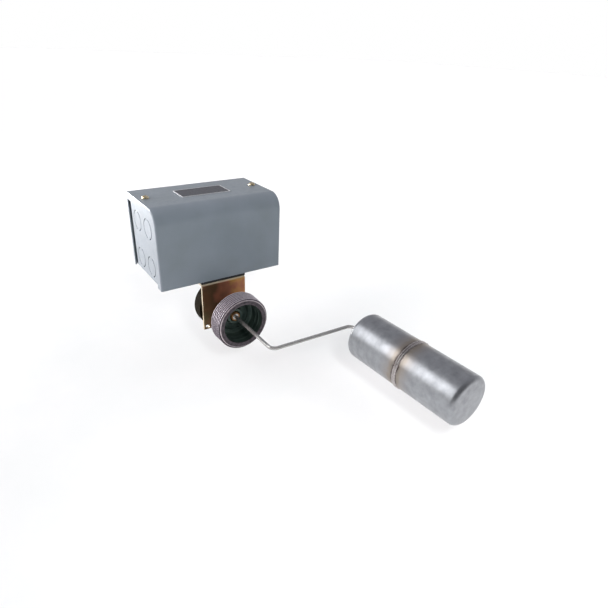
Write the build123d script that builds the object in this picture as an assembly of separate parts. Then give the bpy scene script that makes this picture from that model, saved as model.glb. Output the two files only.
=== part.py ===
"""Side-mounted tank float switch: a sheet-steel switch box on a threaded tank connection,
with a cranked float rod that turns the operating shaft.

Frame: millimetres, +X towards the float, +Y from the tank back to the switch box, +Z up.
The origin is on the thread axis, in the plane where the tank boss comes hand tight.
Positions ending in _Y or _Z are places in this frame; every other value is a size.
"""
import os
from math import atan2, cos, degrees, radians, sin

from build123d import *

# Fits and small clearances
SEAT_GAP = 0.02          # between a pressed or screwed piece and its hole, on the radius
RUNNING_GAP = 0.05       # shaft and pin bearings, on the radius
SIDE_GAP = 0.3           # between faces that move past each other
SHEET_GAP = 0.5          # slip between the cover and the base inside it

# Tank connection: 2 1/2 in taper pipe thread on a cast body
THREAD_R = 36.5
THREAD_LENGTH = 22.4
GAUGE_LENGTH = 17.3      # rim to the hand-tight plane
RIM_CHAMFER = 2.1
BORE_R = 27.3
BORE_CHAMFER = 1.0
RELIEF_R = 33.0          # plain ring behind the thread
RELIEF_LENGTH = 3.1
RELIEF_FILLET = 1.2
WEB_RECESS_R = 20.0      # ring-shaped recess around the gland hub
WEB_RECESS_DEPTH = 4.0
HUB_R = 11.0
HUB_SETBACK = 2.0        # gland hub face behind the back of the thread
NECK_R = 11.0
NECK_CONE_LENGTH = 23.0
NECK_LENGTH = 32.1       # back of the thread to the bracket
PILOT_R = 9.5            # stub through the bracket, for the lock nut
PILOT_LENGTH = 10.0
COLLAR_CHAMBER_R = 6.0

# Operating shaft, its bushes and seal
SHAFT_R = 4.0
SHAFT_END_PLAY = 0.7     # shaft tip to the back wall of the lever housing
COLLAR_R = 5.5
COLLAR_LENGTH = 10.0
GLAND_BUSH_R = 7.5
GLAND_BUSH_LENGTH = 14.0
GLAND_BUSH_PROUD = 1.5
GLAND_BUSH_CHAMFER = 1.8
SEAL_SECTION_R = 1.72
REAR_BUSH_R = 6.5
REAR_BUSH_LENGTH = 13.8
REAR_BUSH_PROUD = 0.5

# Lock nut on the pilot
LOCK_NUT_FLATS = 27.0
LOCK_NUT_THICKNESS = 6.0

# Float rod: round bar with two bends
ROD_R = 2.38
ROD_SOCKET_DEPTH = 12.0
ROD_REACH = 68.5         # rim to the first bend
ROD_OFFSET = 123.3       # first bend to the second
ROD_LEG = 25.0           # second bend to the float
ROD_BEND_R = 8.0
FLOAT_SPLAY = 1.9        # degrees that the last leg turns outwards
ARM_DROOP = 2.1          # degrees that the rod hangs below level on the low stop

# Float: two drawn cups and a weld
FLOAT_R = 30.8
FLOAT_LENGTH = 164.5
FLOAT_WALL = 0.8
FLOAT_CORNER_R = 6.0
FLOAT_DOME = 1.6         # rise of the end of a cup at its middle
WELD_WIDTH = 5.4
WELD_RISE = 1.1
FERRULE_R = 5.0
FERRULE_LENGTH = 5.0
FERRULE_STEP_R = 3.6

# Switch box
BOX_WIDTH = 171.5
BOX_DEPTH = 101.6
BOX_HEIGHT = 101.6
BOX_DROP = 45.0          # thread axis to the underside of the box
BOX_OVERHANG = 1.9       # box front ahead of the bracket
COVER_SHEET = 1.5
COVER_FRONT_R = 20.0
COVER_BACK_R = 4.0
COVER_EDGE_R = 2.0
FLANGE_FRONT = 11.5      # side flange of the cover, along its front edge
FLANGE_TOP = 9.5         # along its top edge
FLANGE_BACK = 4.5        # and along its rear edge
BASE_SHEET = 1.9
BASE_BEND_R = 3.5
END_SLOT = 6.0           # gap between each end panel and the rear flange
TAB_LENGTH = 20.0
TAB_WIDTH = 18.0

# Knockouts in the end panels
KNOCKOUT_R = 12.8        # to the middle of the sheared line
KNOCKOUT_LINE = 1.2
KNOCKOUT_TIE = 30.0      # degrees left uncut at the top and at the bottom
KNOCKOUT_SETBACKS = (33.4, 70.5)
KNOCKOUT_HEIGHTS = (20.8, 70.8)# Cover screws and nameplate
COVER_SCREW_INSET = 10.9 # from the box's ends
COVER_SCREW_SETBACK = 57.8
COVER_SCREW_R = 2.4
COVER_SCREW_LENGTH = 10.0
ROUND_HEAD_R = 4.5
ROUND_HEAD_HEIGHT = 3.4
PLATE_WIDTH = 67.2
PLATE_DEPTH = 33.0
PLATE_THICKNESS = 0.6
PLATE_SETBACK = 57.6     # Bracket and gasket under the box
BRACKET_WIDTH = 63.5
BRACKET_SHEET = 3.0
BRACKET_BEND_R = 4.0
BRACKET_BELOW_AXIS = 27.2
BRACKET_LEG = 60.0
BRACKET_HOLE_R = 2.75
BRACKET_HOLE_SPAN = 53.2
BRACKET_HOLE_DROP = 23.0
GASKET_THICKNESS = 4.0   # Bolts that hold the bracket, gasket and base together
BOLT_R = 2.0
BOLT_HOLE_R = 2.2
BOLT_HEAD_R = 3.8
BOLT_HEAD_HEIGHT = 2.6
BOLT_NUT_FLATS = 7.0
BOLT_NUT_THICKNESS = 3.2
BOLT_THREAD_PAST_NUT = 1.0
BOLT_SPAN = 46.0
BOLT_FRONT_SETBACK = 23.2
BOLT_REAR_SETBACK = 50.0

# Lever housing behind the bracket
HOUSING_R = 34.4
HOUSING_DEPTH = 21.2
HOUSING_WALL = 3.0
HOUSING_EDGE_R = 2.0
HOUSING_NECK_R = 31.4    # stepped in where it meets the bracket
HOUSING_NECK_LENGTH = 2.5
HOUSING_BOSS_R = 5.0
HOUSING_BOSS_OFFSET = 19.0
HOUSING_SCREW_R = 2.0
PAN_HEAD_R = 3.6
PAN_HEAD_HEIGHT = 2.4

# Operating lever and drive pin
FLOAT_SWING = 22.0       # degrees, from the low stop to the high one
LEVER_SHARE = 0.633      # of the height from the shaft to the rocker pivot
LEVER_THICKNESS = 3.0
LEVER_HUB_R = 8.0
LEVER_HUB_LENGTH = 8.4
LEVER_TIP_R = 4.2
LEVER_SLOT_MARGIN = 1.4
LEVER_SLOT_WIDTH = 9.0
SET_SCREW_R = 1.8
SET_SCREW_PROUD = 0.6
DRIVE_PIN_R = 2.0
DRIVE_PIN_PAST_FORK = 1.0

# Mechanism frame inside the box
FRAME_SHEET = 2.0
FRAME_INSIDE = 22.0      # between the cheeks
FRAME_FLANGE_HALF = 28.0
CHEEK_FOOT_HALF = 26.0
CHEEK_TOP_HALF = 13.0
STOP_TAB_X = 21.0        # inner face of the tabs that carry the stop screws
STOP_TAB_WIDTH = 8.0
STOP_TAB_PAST_SCREW = 7.0
STOP_SCREW_R = 2.0
STOP_BELOW_PIN = 5.7     # stop screw axis below the drive pin
STOP_SCREW_HEAD = 3.0

# Contact rocker
PIVOT_PIN_R = 2.5
PIVOT_HEAD_R = 4.0
PIVOT_HEAD_THICKNESS = 1.5
ROCKER_HUB_R = 5.5
ROCKER_SHEET = 3.0
ROCKER_TO_LEVER = 3.0    # gap between the lever and the fork plate
FORK_HALF = 6.5
FORK_SLOT_CLEARANCE = 0.6
FORK_PAST_PIN = 4.0
ROCKER_SHELF_HALF = 20.0
ROCKER_SHELF_SHEET = 1.5
ROCKER_SHELF_DEPTH = 10.0
CARRIER_HALF = 35.0
CARRIER_DEPTH = 18.0
CARRIER_THICKNESS = 5.0
RIVET_R = 1.5
RIVET_HEAD_R = 2.6
RIVET_HEAD = 0.9
RIVET_SPAN = 32.0
BLADE_WIDTH = 5.6
BLADE_THICKNESS = 0.8
BLADE_HALF = 34.0
POLE_SPACING = 12.0
BUTTON_R = 2.5
BUTTON_HEIGHT = 1.2
BUTTON_ARM = 30.0        # rocker pivot to the middle of a contact button

# Contact block and terminals
CONTACT_GAP = 0.5        # left open where the closed contacts meet
BLOCK_HEADROOM = 3.2     # barriers to the cover
BLOCK_HALF = 44.0
BLOCK_HEIGHT = 13.5
BARRIER_HEIGHT = 4.0
BARRIER_THICKNESS = 2.4
BARRIER_LENGTH = 16.0
STRIP_THICKNESS = 0.8
STRIP_INNER_X = 21.5
STRIP_TOP_X = 31.0
BLOCK_SCREW_R = 1.5
BLOCK_SCREW_HEAD_R = 2.7
BLOCK_SCREW_HEAD = 1.6
BLOCK_SCREW_DEPTH = 5.0
BLOCK_SCREW_SPAN = 16.0
TERMINAL_X = 38.0
TERMINAL_SCREW_R = 1.5
TERMINAL_HEAD_R = 2.7
TERMINAL_HEAD = 2.2
TERMINAL_DEPTH = 7.0
SPRING_R = 2.6
SPRING_WIRE_R = 0.4
SPRING_TURNS = 4.0
SPRING_SEAT_DEPTH = 1.5

# Earthing screw on the base
GROUND_INSET = 33.8      # from the box's end
GROUND_SETBACK = 82.0
GROUND_FLATS = 8.0
GROUND_HEAD = 4.0
GROUND_WASHER_R = 5.5
GROUND_WASHER = 1.0
GROUND_BELOW = 3.0

# Places along the thread axis
RIM_Y = -GAUGE_LENGTH
THREAD_BACK_Y = RIM_Y + THREAD_LENGTH
WEB_Y = THREAD_BACK_Y + RELIEF_LENGTH
HUB_FACE_Y = THREAD_BACK_Y + HUB_SETBACK
BRACKET_Y = THREAD_BACK_Y + NECK_LENGTH
BRACKET_BACK_Y = BRACKET_Y + BRACKET_SHEET
PILOT_END_Y = BRACKET_Y + PILOT_LENGTH
GLAND_FACE_Y = HUB_FACE_Y - GLAND_BUSH_PROUD
GLAND_BACK_Y = GLAND_FACE_Y + GLAND_BUSH_LENGTH
SEAL_MIDDLE_R = (SHAFT_R + GLAND_BUSH_R) / 2
SEAL_POCKET_Y = GLAND_BACK_Y + 2 * (SEAL_SECTION_R + SEAT_GAP)
REAR_BUSH_END_Y = PILOT_END_Y + REAR_BUSH_PROUD
REAR_BUSH_Y = REAR_BUSH_END_Y - REAR_BUSH_LENGTH
HOUSING_BACK_Y = BRACKET_BACK_Y + HOUSING_DEPTH
LEVER_HUB_Y = REAR_BUSH_END_Y + SIDE_GAP
LEVER_HUB_END_Y = LEVER_HUB_Y + LEVER_HUB_LENGTH
LEVER_Y = LEVER_HUB_Y + (LEVER_HUB_LENGTH - LEVER_THICKNESS) / 2
LEVER_BACK_Y = LEVER_Y + LEVER_THICKNESS
LEVER_MIDDLE_Y = LEVER_Y + LEVER_THICKNESS / 2
FORK_Y = LEVER_BACK_Y + ROCKER_TO_LEVER
FORK_BACK_Y = FORK_Y + ROCKER_SHEET
SHAFT_END_Y = HOUSING_BACK_Y - HOUSING_WALL - SHAFT_END_PLAY
SHAFT_FRONT_Y = GLAND_FACE_Y
FIRST_BEND_Y = RIM_Y - ROD_REACH

# Places of the box
BOX_FRONT_Y = BRACKET_Y - BOX_OVERHANG
BOX_BACK_Y = BOX_FRONT_Y + BOX_DEPTH
BOX_TOP_Z = BOX_DROP + BOX_HEIGHT
END_PANEL_X = BOX_WIDTH / 2 - COVER_SHEET - SIDE_GAP
BASE_FRONT_Y = BOX_FRONT_Y + COVER_SHEET + SHEET_GAP
BASE_BACK_Y = BOX_BACK_Y - COVER_SHEET - SHEET_GAP
FLOOR_Z = BOX_DROP + BASE_SHEET
BRACKET_TOP_Z = BOX_DROP - GASKET_THICKNESS
COVER_SCREW_X = BOX_WIDTH / 2 - COVER_SCREW_INSET
COVER_SCREW_Y = BOX_FRONT_Y + COVER_SCREW_SETBACK
END_SLOT_Y = BOX_BACK_Y - FLANGE_BACK - END_SLOT
GROUND_X = -(BOX_WIDTH / 2 - GROUND_INSET)
GROUND_Y = BOX_FRONT_Y + GROUND_SETBACK

# Angles of the mechanism: the rocker tilts until its fork points at the drive pin
HALF_SWING = FLOAT_SWING / 2
ROCKER_TILT = degrees(atan2(LEVER_SHARE * sin(radians(HALF_SWING)),
                            1 - LEVER_SHARE * cos(radians(HALF_SWING))))
TILT_SIN, TILT_COS = sin(radians(ROCKER_TILT)), cos(radians(ROCKER_TILT))

# Places of the mechanism, from the cover downwards
CARRIER_TOP = ROCKER_HUB_R + ROCKER_SHELF_SHEET + CARRIER_THICKNESS
BUTTON_TOP = CARRIER_TOP + BLADE_THICKNESS + BUTTON_HEIGHT
CLOSED_RISE = BUTTON_ARM * TILT_SIN + BUTTON_TOP * TILT_COS
BLOCK_TOP_Z = BOX_TOP_Z - COVER_SHEET - BLOCK_HEADROOM - BARRIER_HEIGHT
BLOCK_Z = BLOCK_TOP_Z - BLOCK_HEIGHT
STRIP_Z = BLOCK_Z - STRIP_THICKNESS
FIXED_BUTTON_Z = STRIP_Z - BUTTON_HEIGHT
PIVOT_HEIGHT = FIXED_BUTTON_Z - CONTACT_GAP - BUTTON_R * TILT_SIN - CLOSED_RISE
CLOSED_X = BUTTON_ARM * TILT_COS - BUTTON_TOP * TILT_SIN
LEVER_LENGTH = LEVER_SHARE * PIVOT_HEIGHT
DRIVE_X = LEVER_LENGTH * sin(radians(HALF_SWING))
DRIVE_Z = LEVER_LENGTH * cos(radians(HALF_SWING))
FORK_NEAR = PIVOT_HEIGHT - LEVER_LENGTH - DRIVE_PIN_R - FORK_SLOT_CLEARANCE
FORK_END = DRIVE_X / TILT_SIN + DRIVE_PIN_R + FORK_PAST_PIN
FRAME_MIDDLE_Y = LEVER_MIDDLE_Y + 2.0
FRAME_FRONT_Y = FRAME_MIDDLE_Y - FRAME_INSIDE / 2
FRAME_BACK_Y = FRAME_MIDDLE_Y + FRAME_INSIDE / 2
FRAME_FLOOR_Z = FLOOR_Z + FRAME_SHEET
STOP_SCREW_Z = DRIVE_Z - STOP_BELOW_PIN
STOP_TAB_TOP_Z = STOP_SCREW_Z + STOP_TAB_PAST_SCREW
BLOCK_SCREW_Z = BLOCK_Z + BLOCK_HEIGHT / 2
CHEEK_TOP_Z = BLOCK_SCREW_Z + BLOCK_SCREW_HEAD_R + FRAME_SHEET
POLE_YS = (FRAME_MIDDLE_Y - POLE_SPACING / 2, FRAME_MIDDLE_Y + POLE_SPACING / 2)


def block(x, y, z):
    """Box from its two limits along each axis."""
    size = (x[1] - x[0], y[1] - y[0], z[1] - z[0])
    middle = ((x[0] + x[1]) / 2, (y[0] + y[1]) / 2, (z[0] + z[1]) / 2)
    return Pos(*middle) * Box(*size)


def rod_along_y(radius, y0, y1, x=0.0, z=0.0):
    """Round bar along Y."""
    return Pos(x, (y0 + y1) / 2, z) * Rot(90, 0, 0) * Cylinder(radius, y1 - y0)


def rod_along_z(radius, z0, z1, x=0.0, y=0.0):
    """Round bar along Z."""
    return Pos(x, y, (z0 + z1) / 2) * Cylinder(radius, z1 - z0)


def rod_along_x(radius, x0, x1, y=0.0, z=0.0):
    """Round bar along X."""
    return Pos((x0 + x1) / 2, y, z) * Rot(0, 90, 0) * Cylinder(radius, x1 - x0)


def hex_along_z(flats, z0, z1, x=0.0, y=0.0):
    """Hexagonal bar along Z, by its width across flats."""
    outline = RegularPolygon(flats / 2, 6, major_radius=False)
    return Pos(x, y, z0) * extrude(outline, amount=z1 - z0)


def turned_about_y(*points):
    """Solid of revolution about the thread axis, from (radius, y) points."""
    outline = make_face(Polyline(*points, close=True))
    return revolve(outline, Axis.Y)


def dome_head(radius, height, shank_r, shank_length):
    """Round-headed screw: head above z = 0, shank below it."""
    cap_r = (radius**2 + height**2) / (2 * height)
    head = Pos(0, 0, height - cap_r) * Sphere(cap_r)
    head &= Pos(0, 0, height / 2) * Box(2 * radius, 2 * radius, height)
    return head + rod_along_z(shank_r, -shank_length, 0)


def cross_slot(solid, width, depth, top_z, length):
    """Cuts one straight driver slot across the top of a screw head."""
    return solid - block((-length, length), (-width / 2, width / 2), (top_z - depth, top_z + 1))


def slot_cut(half_length, y0, y1, z0, z1):
    """Slot along X with round ends, cut through in Z."""
    half_width = (y1 - y0) / 2
    outline = SlotOverall(2 * half_length, 2 * half_width)
    return Pos(0, (y0 + y1) / 2, z0) * extrude(outline, amount=z1 - z0)


def lever_half_span(z):
    """Widest X that the lever's edge reaches at height z, over its whole swing."""
    lean = radians(HALF_SWING)
    taper = (LEVER_HUB_R - LEVER_TIP_R) / LEVER_LENGTH
    half_width = LEVER_HUB_R - taper * z
    return z * sin(lean) / cos(lean) + half_width / cos(lean)


def lever_slot(z0, z1):
    """Slot that lets the operating lever through a sheet between two heights."""
    half = lever_half_span(max(z0, z1)) + LEVER_SLOT_MARGIN
    middle = LEVER_MIDDLE_Y
    return slot_cut(half, middle - LEVER_SLOT_WIDTH / 2, middle + LEVER_SLOT_WIDTH / 2,
                    z0 - 1, z1 + 1)


def bolt_places():
    """X and Y of the four bolts through bracket, gasket and base."""
    for setback in (BOLT_FRONT_SETBACK, BOLT_REAR_SETBACK):
        for side in (-1, 1):
            yield side * BOLT_SPAN / 2, BRACKET_Y + setback


def tank_casting():
    """Threaded body: open bore to the tank, recessed web, gland hub, cone and pilot."""
    cone_end = WEB_Y + NECK_CONE_LENGTH
    outer = turned_about_y(
        (0, RIM_Y),
        (THREAD_R - RIM_CHAMFER, RIM_Y),
        (THREAD_R, RIM_Y + RIM_CHAMFER),
        (THREAD_R, THREAD_BACK_Y - RELIEF_FILLET),
        (THREAD_R - RELIEF_FILLET, THREAD_BACK_Y),
        (RELIEF_R, THREAD_BACK_Y),
        (RELIEF_R, WEB_Y),
        (NECK_R, cone_end),
        (NECK_R, BRACKET_Y),
        (PILOT_R, BRACKET_Y),
        (PILOT_R, PILOT_END_Y),
        (0, PILOT_END_Y),
    )
    cavity = turned_about_y(
        (0, RIM_Y - 1),
        (BORE_R + BORE_CHAMFER + 1, RIM_Y - 1),
        (BORE_R, RIM_Y + BORE_CHAMFER),
        (BORE_R, WEB_Y),
        (WEB_RECESS_R, WEB_Y),
        (WEB_RECESS_R, WEB_Y + WEB_RECESS_DEPTH),
        (HUB_R, WEB_Y + WEB_RECESS_DEPTH),
        (HUB_R, HUB_FACE_Y),
        (0, HUB_FACE_Y),
    )
    gland = rod_along_y(GLAND_BUSH_R + SEAT_GAP, HUB_FACE_Y - 1, SEAL_POCKET_Y)
    chamber = rod_along_y(COLLAR_CHAMBER_R, SEAL_POCKET_Y - 1, REAR_BUSH_Y)
    rear_seat = rod_along_y(REAR_BUSH_R + SEAT_GAP, REAR_BUSH_Y, PILOT_END_Y + 1)
    return outer - cavity - gland - chamber - rear_seat


def bush(radius, y0, y1, nose):
    """Bronze bush, chamfered at its front edge."""
    outline = turned_about_y(
        (0, y0), (radius - nose, y0), (radius, y0 + nose), (radius, y1), (0, y1))
    return outline - rod_along_y(SHAFT_R + RUNNING_GAP, y0 - 1, y1 + 1)


def shaft_seal():
    """Rubber ring behind the gland bush."""
    middle = GLAND_BACK_Y + SEAL_SECTION_R + SEAT_GAP
    return Pos(0, middle, 0) * Rot(90, 0, 0) * Torus(SEAL_MIDDLE_R, SEAL_SECTION_R)


def lock_nut():
    """Hexagonal nut that clamps the bracket to the casting."""
    outline = RegularPolygon(LOCK_NUT_FLATS / 2, 6, major_radius=False)
    nut = extrude(outline, amount=LOCK_NUT_THICKNESS)
    nut = chamfer(nut.edges().group_by(Axis.Z)[0] + nut.edges().group_by(Axis.Z)[-1], 0.8)
    nut = Pos(0, BRACKET_BACK_Y + LOCK_NUT_THICKNESS, 0) * Rot(90, 0, 0) * nut
    return nut - rod_along_y(PILOT_R + SEAT_GAP, BRACKET_BACK_Y - 1, PILOT_END_Y + 1)


def side_profile(front, top, back, bottom_z, front_r, back_r):
    """Outline of the box seen from its end, set in from its front, top and back."""
    y0, y1 = BOX_FRONT_Y + front, BOX_BACK_Y - back
    z1 = BOX_TOP_Z - top
    outline = make_face(Polyline((y0, bottom_z), (y1, bottom_z), (y1, z1), (y0, z1), close=True))
    corners = outline.vertices().group_by(Axis.Y)[-1].sort_by(Axis.X)
    outline = fillet(corners[0], front_r)
    corners = outline.vertices().group_by(Axis.Y)[-1].sort_by(Axis.X)
    if back_r:
        outline = fillet(corners[-1], back_r)
    return Plane.YZ * outline


def cover():
    """One folded sheet: front, broad bend, top and back, with a flange at each end."""
    half = BOX_WIDTH / 2
    outer = extrude(side_profile(0, 0, 0, BOX_DROP, COVER_FRONT_R, COVER_BACK_R), half, both=True)
    ends = [e for e in outer.edges() if abs(abs(e.center().X) - half) < 0.01
            and e.center().Z > BOX_DROP + 0.1]
    outer = fillet(ends, COVER_EDGE_R)
    sheet = COVER_SHEET
    inner = extrude(side_profile(sheet, sheet, sheet, BOX_DROP - 1, COVER_FRONT_R - sheet,
                                 COVER_BACK_R - sheet), half - sheet, both=True)
    window_r = COVER_FRONT_R - (FLANGE_FRONT + FLANGE_TOP) / 2
    window = side_profile(FLANGE_FRONT, FLANGE_TOP, FLANGE_BACK, BOX_DROP - 1, window_r, 0)
    shell = outer - inner - extrude(window, half + 1, both=True)
    for side in (-1, 1):
        shell -= rod_along_z(COVER_SCREW_R + 0.3, BOX_TOP_Z - 2 * sheet, BOX_TOP_Z + 1,
                             side * COVER_SCREW_X, COVER_SCREW_Y)
    return shell


def knockout_cut(y, z):
    """Sheared line of one knockout, left whole at two ties, cut through both end panels."""
    inner_r, outer_r = KNOCKOUT_R - KNOCKOUT_LINE / 2, KNOCKOUT_R + KNOCKOUT_LINE / 2
    ring = Circle(outer_r) - Circle(inner_r)
    tie_width = 2 * outer_r * sin(radians(KNOCKOUT_TIE / 2))
    ring -= Rectangle(tie_width, 3 * outer_r)
    return extrude(Plane.YZ * Pos(y, z) * ring, BOX_WIDTH / 2, both=True)


def base_pan():
    """Folded base: floor, two end panels with knockouts, and a tab under each cover screw."""
    outer_x, inner_x = END_PANEL_X, END_PANEL_X - BASE_SHEET
    top_z = BOX_TOP_Z - COVER_SHEET
    run = BASE_BACK_Y - BASE_FRONT_Y
    shell = block((-outer_x, outer_x), (0, run), (BOX_DROP, top_z + 1))
    shell = fillet([e for e in shell.edges().filter_by(Axis.Y) if e.center().Z < FLOOR_Z],
                   BASE_BEND_R)
    hollow = block((-inner_x, inner_x), (-1, run + 1), (FLOOR_Z, top_z + 2))
    hollow = fillet([e for e in hollow.edges().filter_by(Axis.Y) if e.center().Z < top_z],
                    BASE_BEND_R - BASE_SHEET)
    pan = Pos(0, BASE_FRONT_Y, 0) * (shell - hollow)
    inset = COVER_SHEET + SHEET_GAP
    outline = side_profile(inset, COVER_SHEET, inset, BOX_DROP - 1, COVER_FRONT_R - inset, 0)
    pan &= extrude(outline, BOX_WIDTH, both=True)
    pan -= block((-outer_x - 1, outer_x + 1), (END_SLOT_Y, BOX_BACK_Y),
                 (BOX_DROP + BASE_BEND_R, top_z + 1))
    for setback in KNOCKOUT_SETBACKS:
        for height in KNOCKOUT_HEIGHTS:
            pan -= knockout_cut(BOX_FRONT_Y + setback, BOX_DROP + height)
    tab_y = (COVER_SCREW_Y - TAB_WIDTH / 2, COVER_SCREW_Y + TAB_WIDTH / 2)
    for side in (-1, 1):
        tab_x = sorted((side * inner_x, side * (inner_x - TAB_LENGTH)))
        pan += block(tab_x, tab_y, (top_z - BASE_SHEET, top_z))
        pan -= rod_along_z(COVER_SCREW_R + SEAT_GAP, top_z - 5, top_z + 1,
                           side * COVER_SCREW_X, COVER_SCREW_Y)
    pan -= lever_slot(BOX_DROP, FLOOR_Z)
    for x, y in bolt_places():
        pan -= rod_along_z(BOLT_HOLE_R, BOX_DROP - 1, FLOOR_Z + 1, x, y)
    pan -= rod_along_z(BOLT_R + SEAT_GAP, BOX_DROP - 1, FLOOR_Z + 1, GROUND_X,
                       GROUND_Y)
    return pan


def cover_screws():
    """Two round-headed screws in the top of the cover."""
    screw = dome_head(ROUND_HEAD_R, ROUND_HEAD_HEIGHT, COVER_SCREW_R, COVER_SCREW_LENGTH)
    screw = cross_slot(screw, 1.2, 1.3, ROUND_HEAD_HEIGHT, ROUND_HEAD_R)
    places = [(side * COVER_SCREW_X, COVER_SCREW_Y, BOX_TOP_Z) for side in (-1, 1)]
    return [Pos(*place) * screw for place in places]


def nameplate():
    """Blank metal plate on top of the cover."""
    y = BOX_FRONT_Y + PLATE_SETBACK
    plate = block((-PLATE_WIDTH / 2, PLATE_WIDTH / 2), (y - PLATE_DEPTH / 2, y + PLATE_DEPTH / 2),
                  (BOX_TOP_Z, BOX_TOP_Z + PLATE_THICKNESS))
    return fillet(plate.edges().filter_by(Axis.Z), 1.0)


def bracket():
    """Bent steel angle: plate on the casting, leg under the box."""
    half, top = BRACKET_WIDTH / 2, BRACKET_TOP_Z
    shape = block((-half, half), (BRACKET_Y, BRACKET_Y + BRACKET_LEG),
                  (-BRACKET_BELOW_AXIS, top))
    bend = [e for e in shape.edges().filter_by(Axis.X)
            if e.center().Z > 0 and e.center().Y < BRACKET_BACK_Y]
    shape = fillet(bend, BRACKET_BEND_R)
    inside = block((-half - 1, half + 1), (BRACKET_BACK_Y, BRACKET_Y + BRACKET_LEG + 1),
                   (-BRACKET_BELOW_AXIS - 1, top - BRACKET_SHEET))
    bend = [e for e in inside.edges().filter_by(Axis.X)
            if e.center().Z > 0 and e.center().Y < BRACKET_BACK_Y + 1]
    shape -= fillet(bend, BRACKET_BEND_R - BRACKET_SHEET)
    shape -= rod_along_y(PILOT_R + SEAT_GAP, BRACKET_Y - 1, BRACKET_BACK_Y + 1)
    for side in (-1, 1):
        shape -= rod_along_y(BRACKET_HOLE_R, BRACKET_Y - 1, BRACKET_BACK_Y + 1,
                             side * BRACKET_HOLE_SPAN / 2, -BRACKET_HOLE_DROP)
        shape -= rod_along_y(HOUSING_SCREW_R + SEAT_GAP, BRACKET_Y - 1, BRACKET_BACK_Y + 1,
                             side * HOUSING_BOSS_OFFSET, -HOUSING_BOSS_OFFSET)
    for x, y in bolt_places():
        shape -= rod_along_z(BOLT_HOLE_R, top - BRACKET_SHEET - 1, top + 1, x, y)
    return shape - lever_slot(top - BRACKET_SHEET, top)


def gasket():
    """Black rubber pad between the bracket and the base."""
    half = BRACKET_WIDTH / 2
    pad = block((-half, half), (BRACKET_Y, BRACKET_Y + BRACKET_LEG), (BRACKET_TOP_Z, BOX_DROP))
    for x, y in bolt_places():
        pad -= rod_along_z(BOLT_HOLE_R, BRACKET_TOP_Z - 1, BOX_DROP + 1, x, y)
    return pad - lever_slot(BRACKET_TOP_Z, BOX_DROP)


def bracket_bolts():
    """Four screws; the front pair also holds the mechanism frame."""
    nut_bottom = BRACKET_TOP_Z - BRACKET_SHEET - BOLT_NUT_THICKNESS
    bolts = []
    for index, (x, y) in enumerate(bolt_places()):
        seat = FRAME_FLOOR_Z if index < 2 else FLOOR_Z
        bolt = rod_along_z(BOLT_R, nut_bottom - BOLT_THREAD_PAST_NUT, seat)
        head = rod_along_z(BOLT_HEAD_R, seat, seat + BOLT_HEAD_HEIGHT)
        head = fillet(head.edges().group_by(Axis.Z)[-1], 1.0)
        bolt = cross_slot(bolt + head, 1.0, 1.2, seat + BOLT_HEAD_HEIGHT, BOLT_HEAD_R)
        bolts.append(Pos(x, y, 0) * bolt)
    return bolts


def bracket_nuts():
    """Hexagonal nuts under the bracket's leg."""
    top = BRACKET_TOP_Z - BRACKET_SHEET
    nut = hex_along_z(BOLT_NUT_FLATS, top - BOLT_NUT_THICKNESS, top)
    nut -= rod_along_z(BOLT_R + SEAT_GAP, top - BOLT_NUT_THICKNESS - 1, top + 1)
    return [Pos(x, y, 0) * nut for x, y in bolt_places()]


def rear_housing():
    """Round cup behind the bracket that covers the lever's hub, open at the top for the lever."""
    y0, y1 = BRACKET_BACK_Y, HOUSING_BACK_Y
    cup = rod_along_y(HOUSING_R, y0, y1)
    cup = fillet(cup.edges().group_by(Axis.Y)[-1], HOUSING_EDGE_R)
    step_y = y0 + HOUSING_NECK_LENGTH
    cup -= rod_along_y(HOUSING_R + 1, y0 - 1, step_y) - rod_along_y(HOUSING_NECK_R, y0 - 1, step_y)
    cup -= rod_along_y(HOUSING_NECK_R - HOUSING_WALL, y0 - 1, y1 - HOUSING_WALL)
    cup -= rod_along_y(HOUSING_R - HOUSING_WALL, step_y + HOUSING_WALL, y1 - HOUSING_WALL)
    for side in (-1, 1):
        x, z = side * HOUSING_BOSS_OFFSET, -HOUSING_BOSS_OFFSET
        cup += rod_along_y(HOUSING_BOSS_R, y0, y1 - HOUSING_WALL / 2, x, z)
        cup -= rod_along_y(HOUSING_SCREW_R + SEAT_GAP, y0 - 1, y1 + 1, x, z)
    half = lever_half_span(HOUSING_R) + LEVER_SLOT_MARGIN
    y = LEVER_MIDDLE_Y
    return cup - block((-half, half), (y - LEVER_SLOT_WIDTH / 2, y + LEVER_SLOT_WIDTH / 2),
                       (HOUSING_R / 2, HOUSING_R + 1))


def housing_screws():
    """Two screws from behind, into the bracket."""
    length = HOUSING_BACK_Y - BRACKET_Y
    screw = dome_head(PAN_HEAD_R, PAN_HEAD_HEIGHT, HOUSING_SCREW_R, length)
    screw = cross_slot(screw, 0.9, 1.1, PAN_HEAD_HEIGHT, PAN_HEAD_R)
    screw = Rot(-90, 0, 0) * screw
    return [Pos(side * HOUSING_BOSS_OFFSET, HOUSING_BACK_Y, -HOUSING_BOSS_OFFSET) * screw
            for side in (-1, 1)]


def operating_shaft():
    """Shaft with a thrust collar, drilled at its front end for the float rod."""
    shaft = rod_along_y(SHAFT_R, SHAFT_FRONT_Y, SHAFT_END_Y)
    collar_y = REAR_BUSH_Y - SIDE_GAP
    shaft += rod_along_y(COLLAR_R, collar_y - COLLAR_LENGTH, collar_y)
    return shaft - rod_along_y(ROD_R + SEAT_GAP, SHAFT_FRONT_Y - 1,
                               SHAFT_FRONT_Y + ROD_SOCKET_DEPTH)


def at_float(shape):
    """Places a shape, modelled along -Y from the second bend, on the splayed last leg."""
    return Rot(0, ARM_DROOP, 0) * Pos(ROD_OFFSET, FIRST_BEND_Y, 0) * Rot(0, 0, FLOAT_SPLAY) * shape


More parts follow.
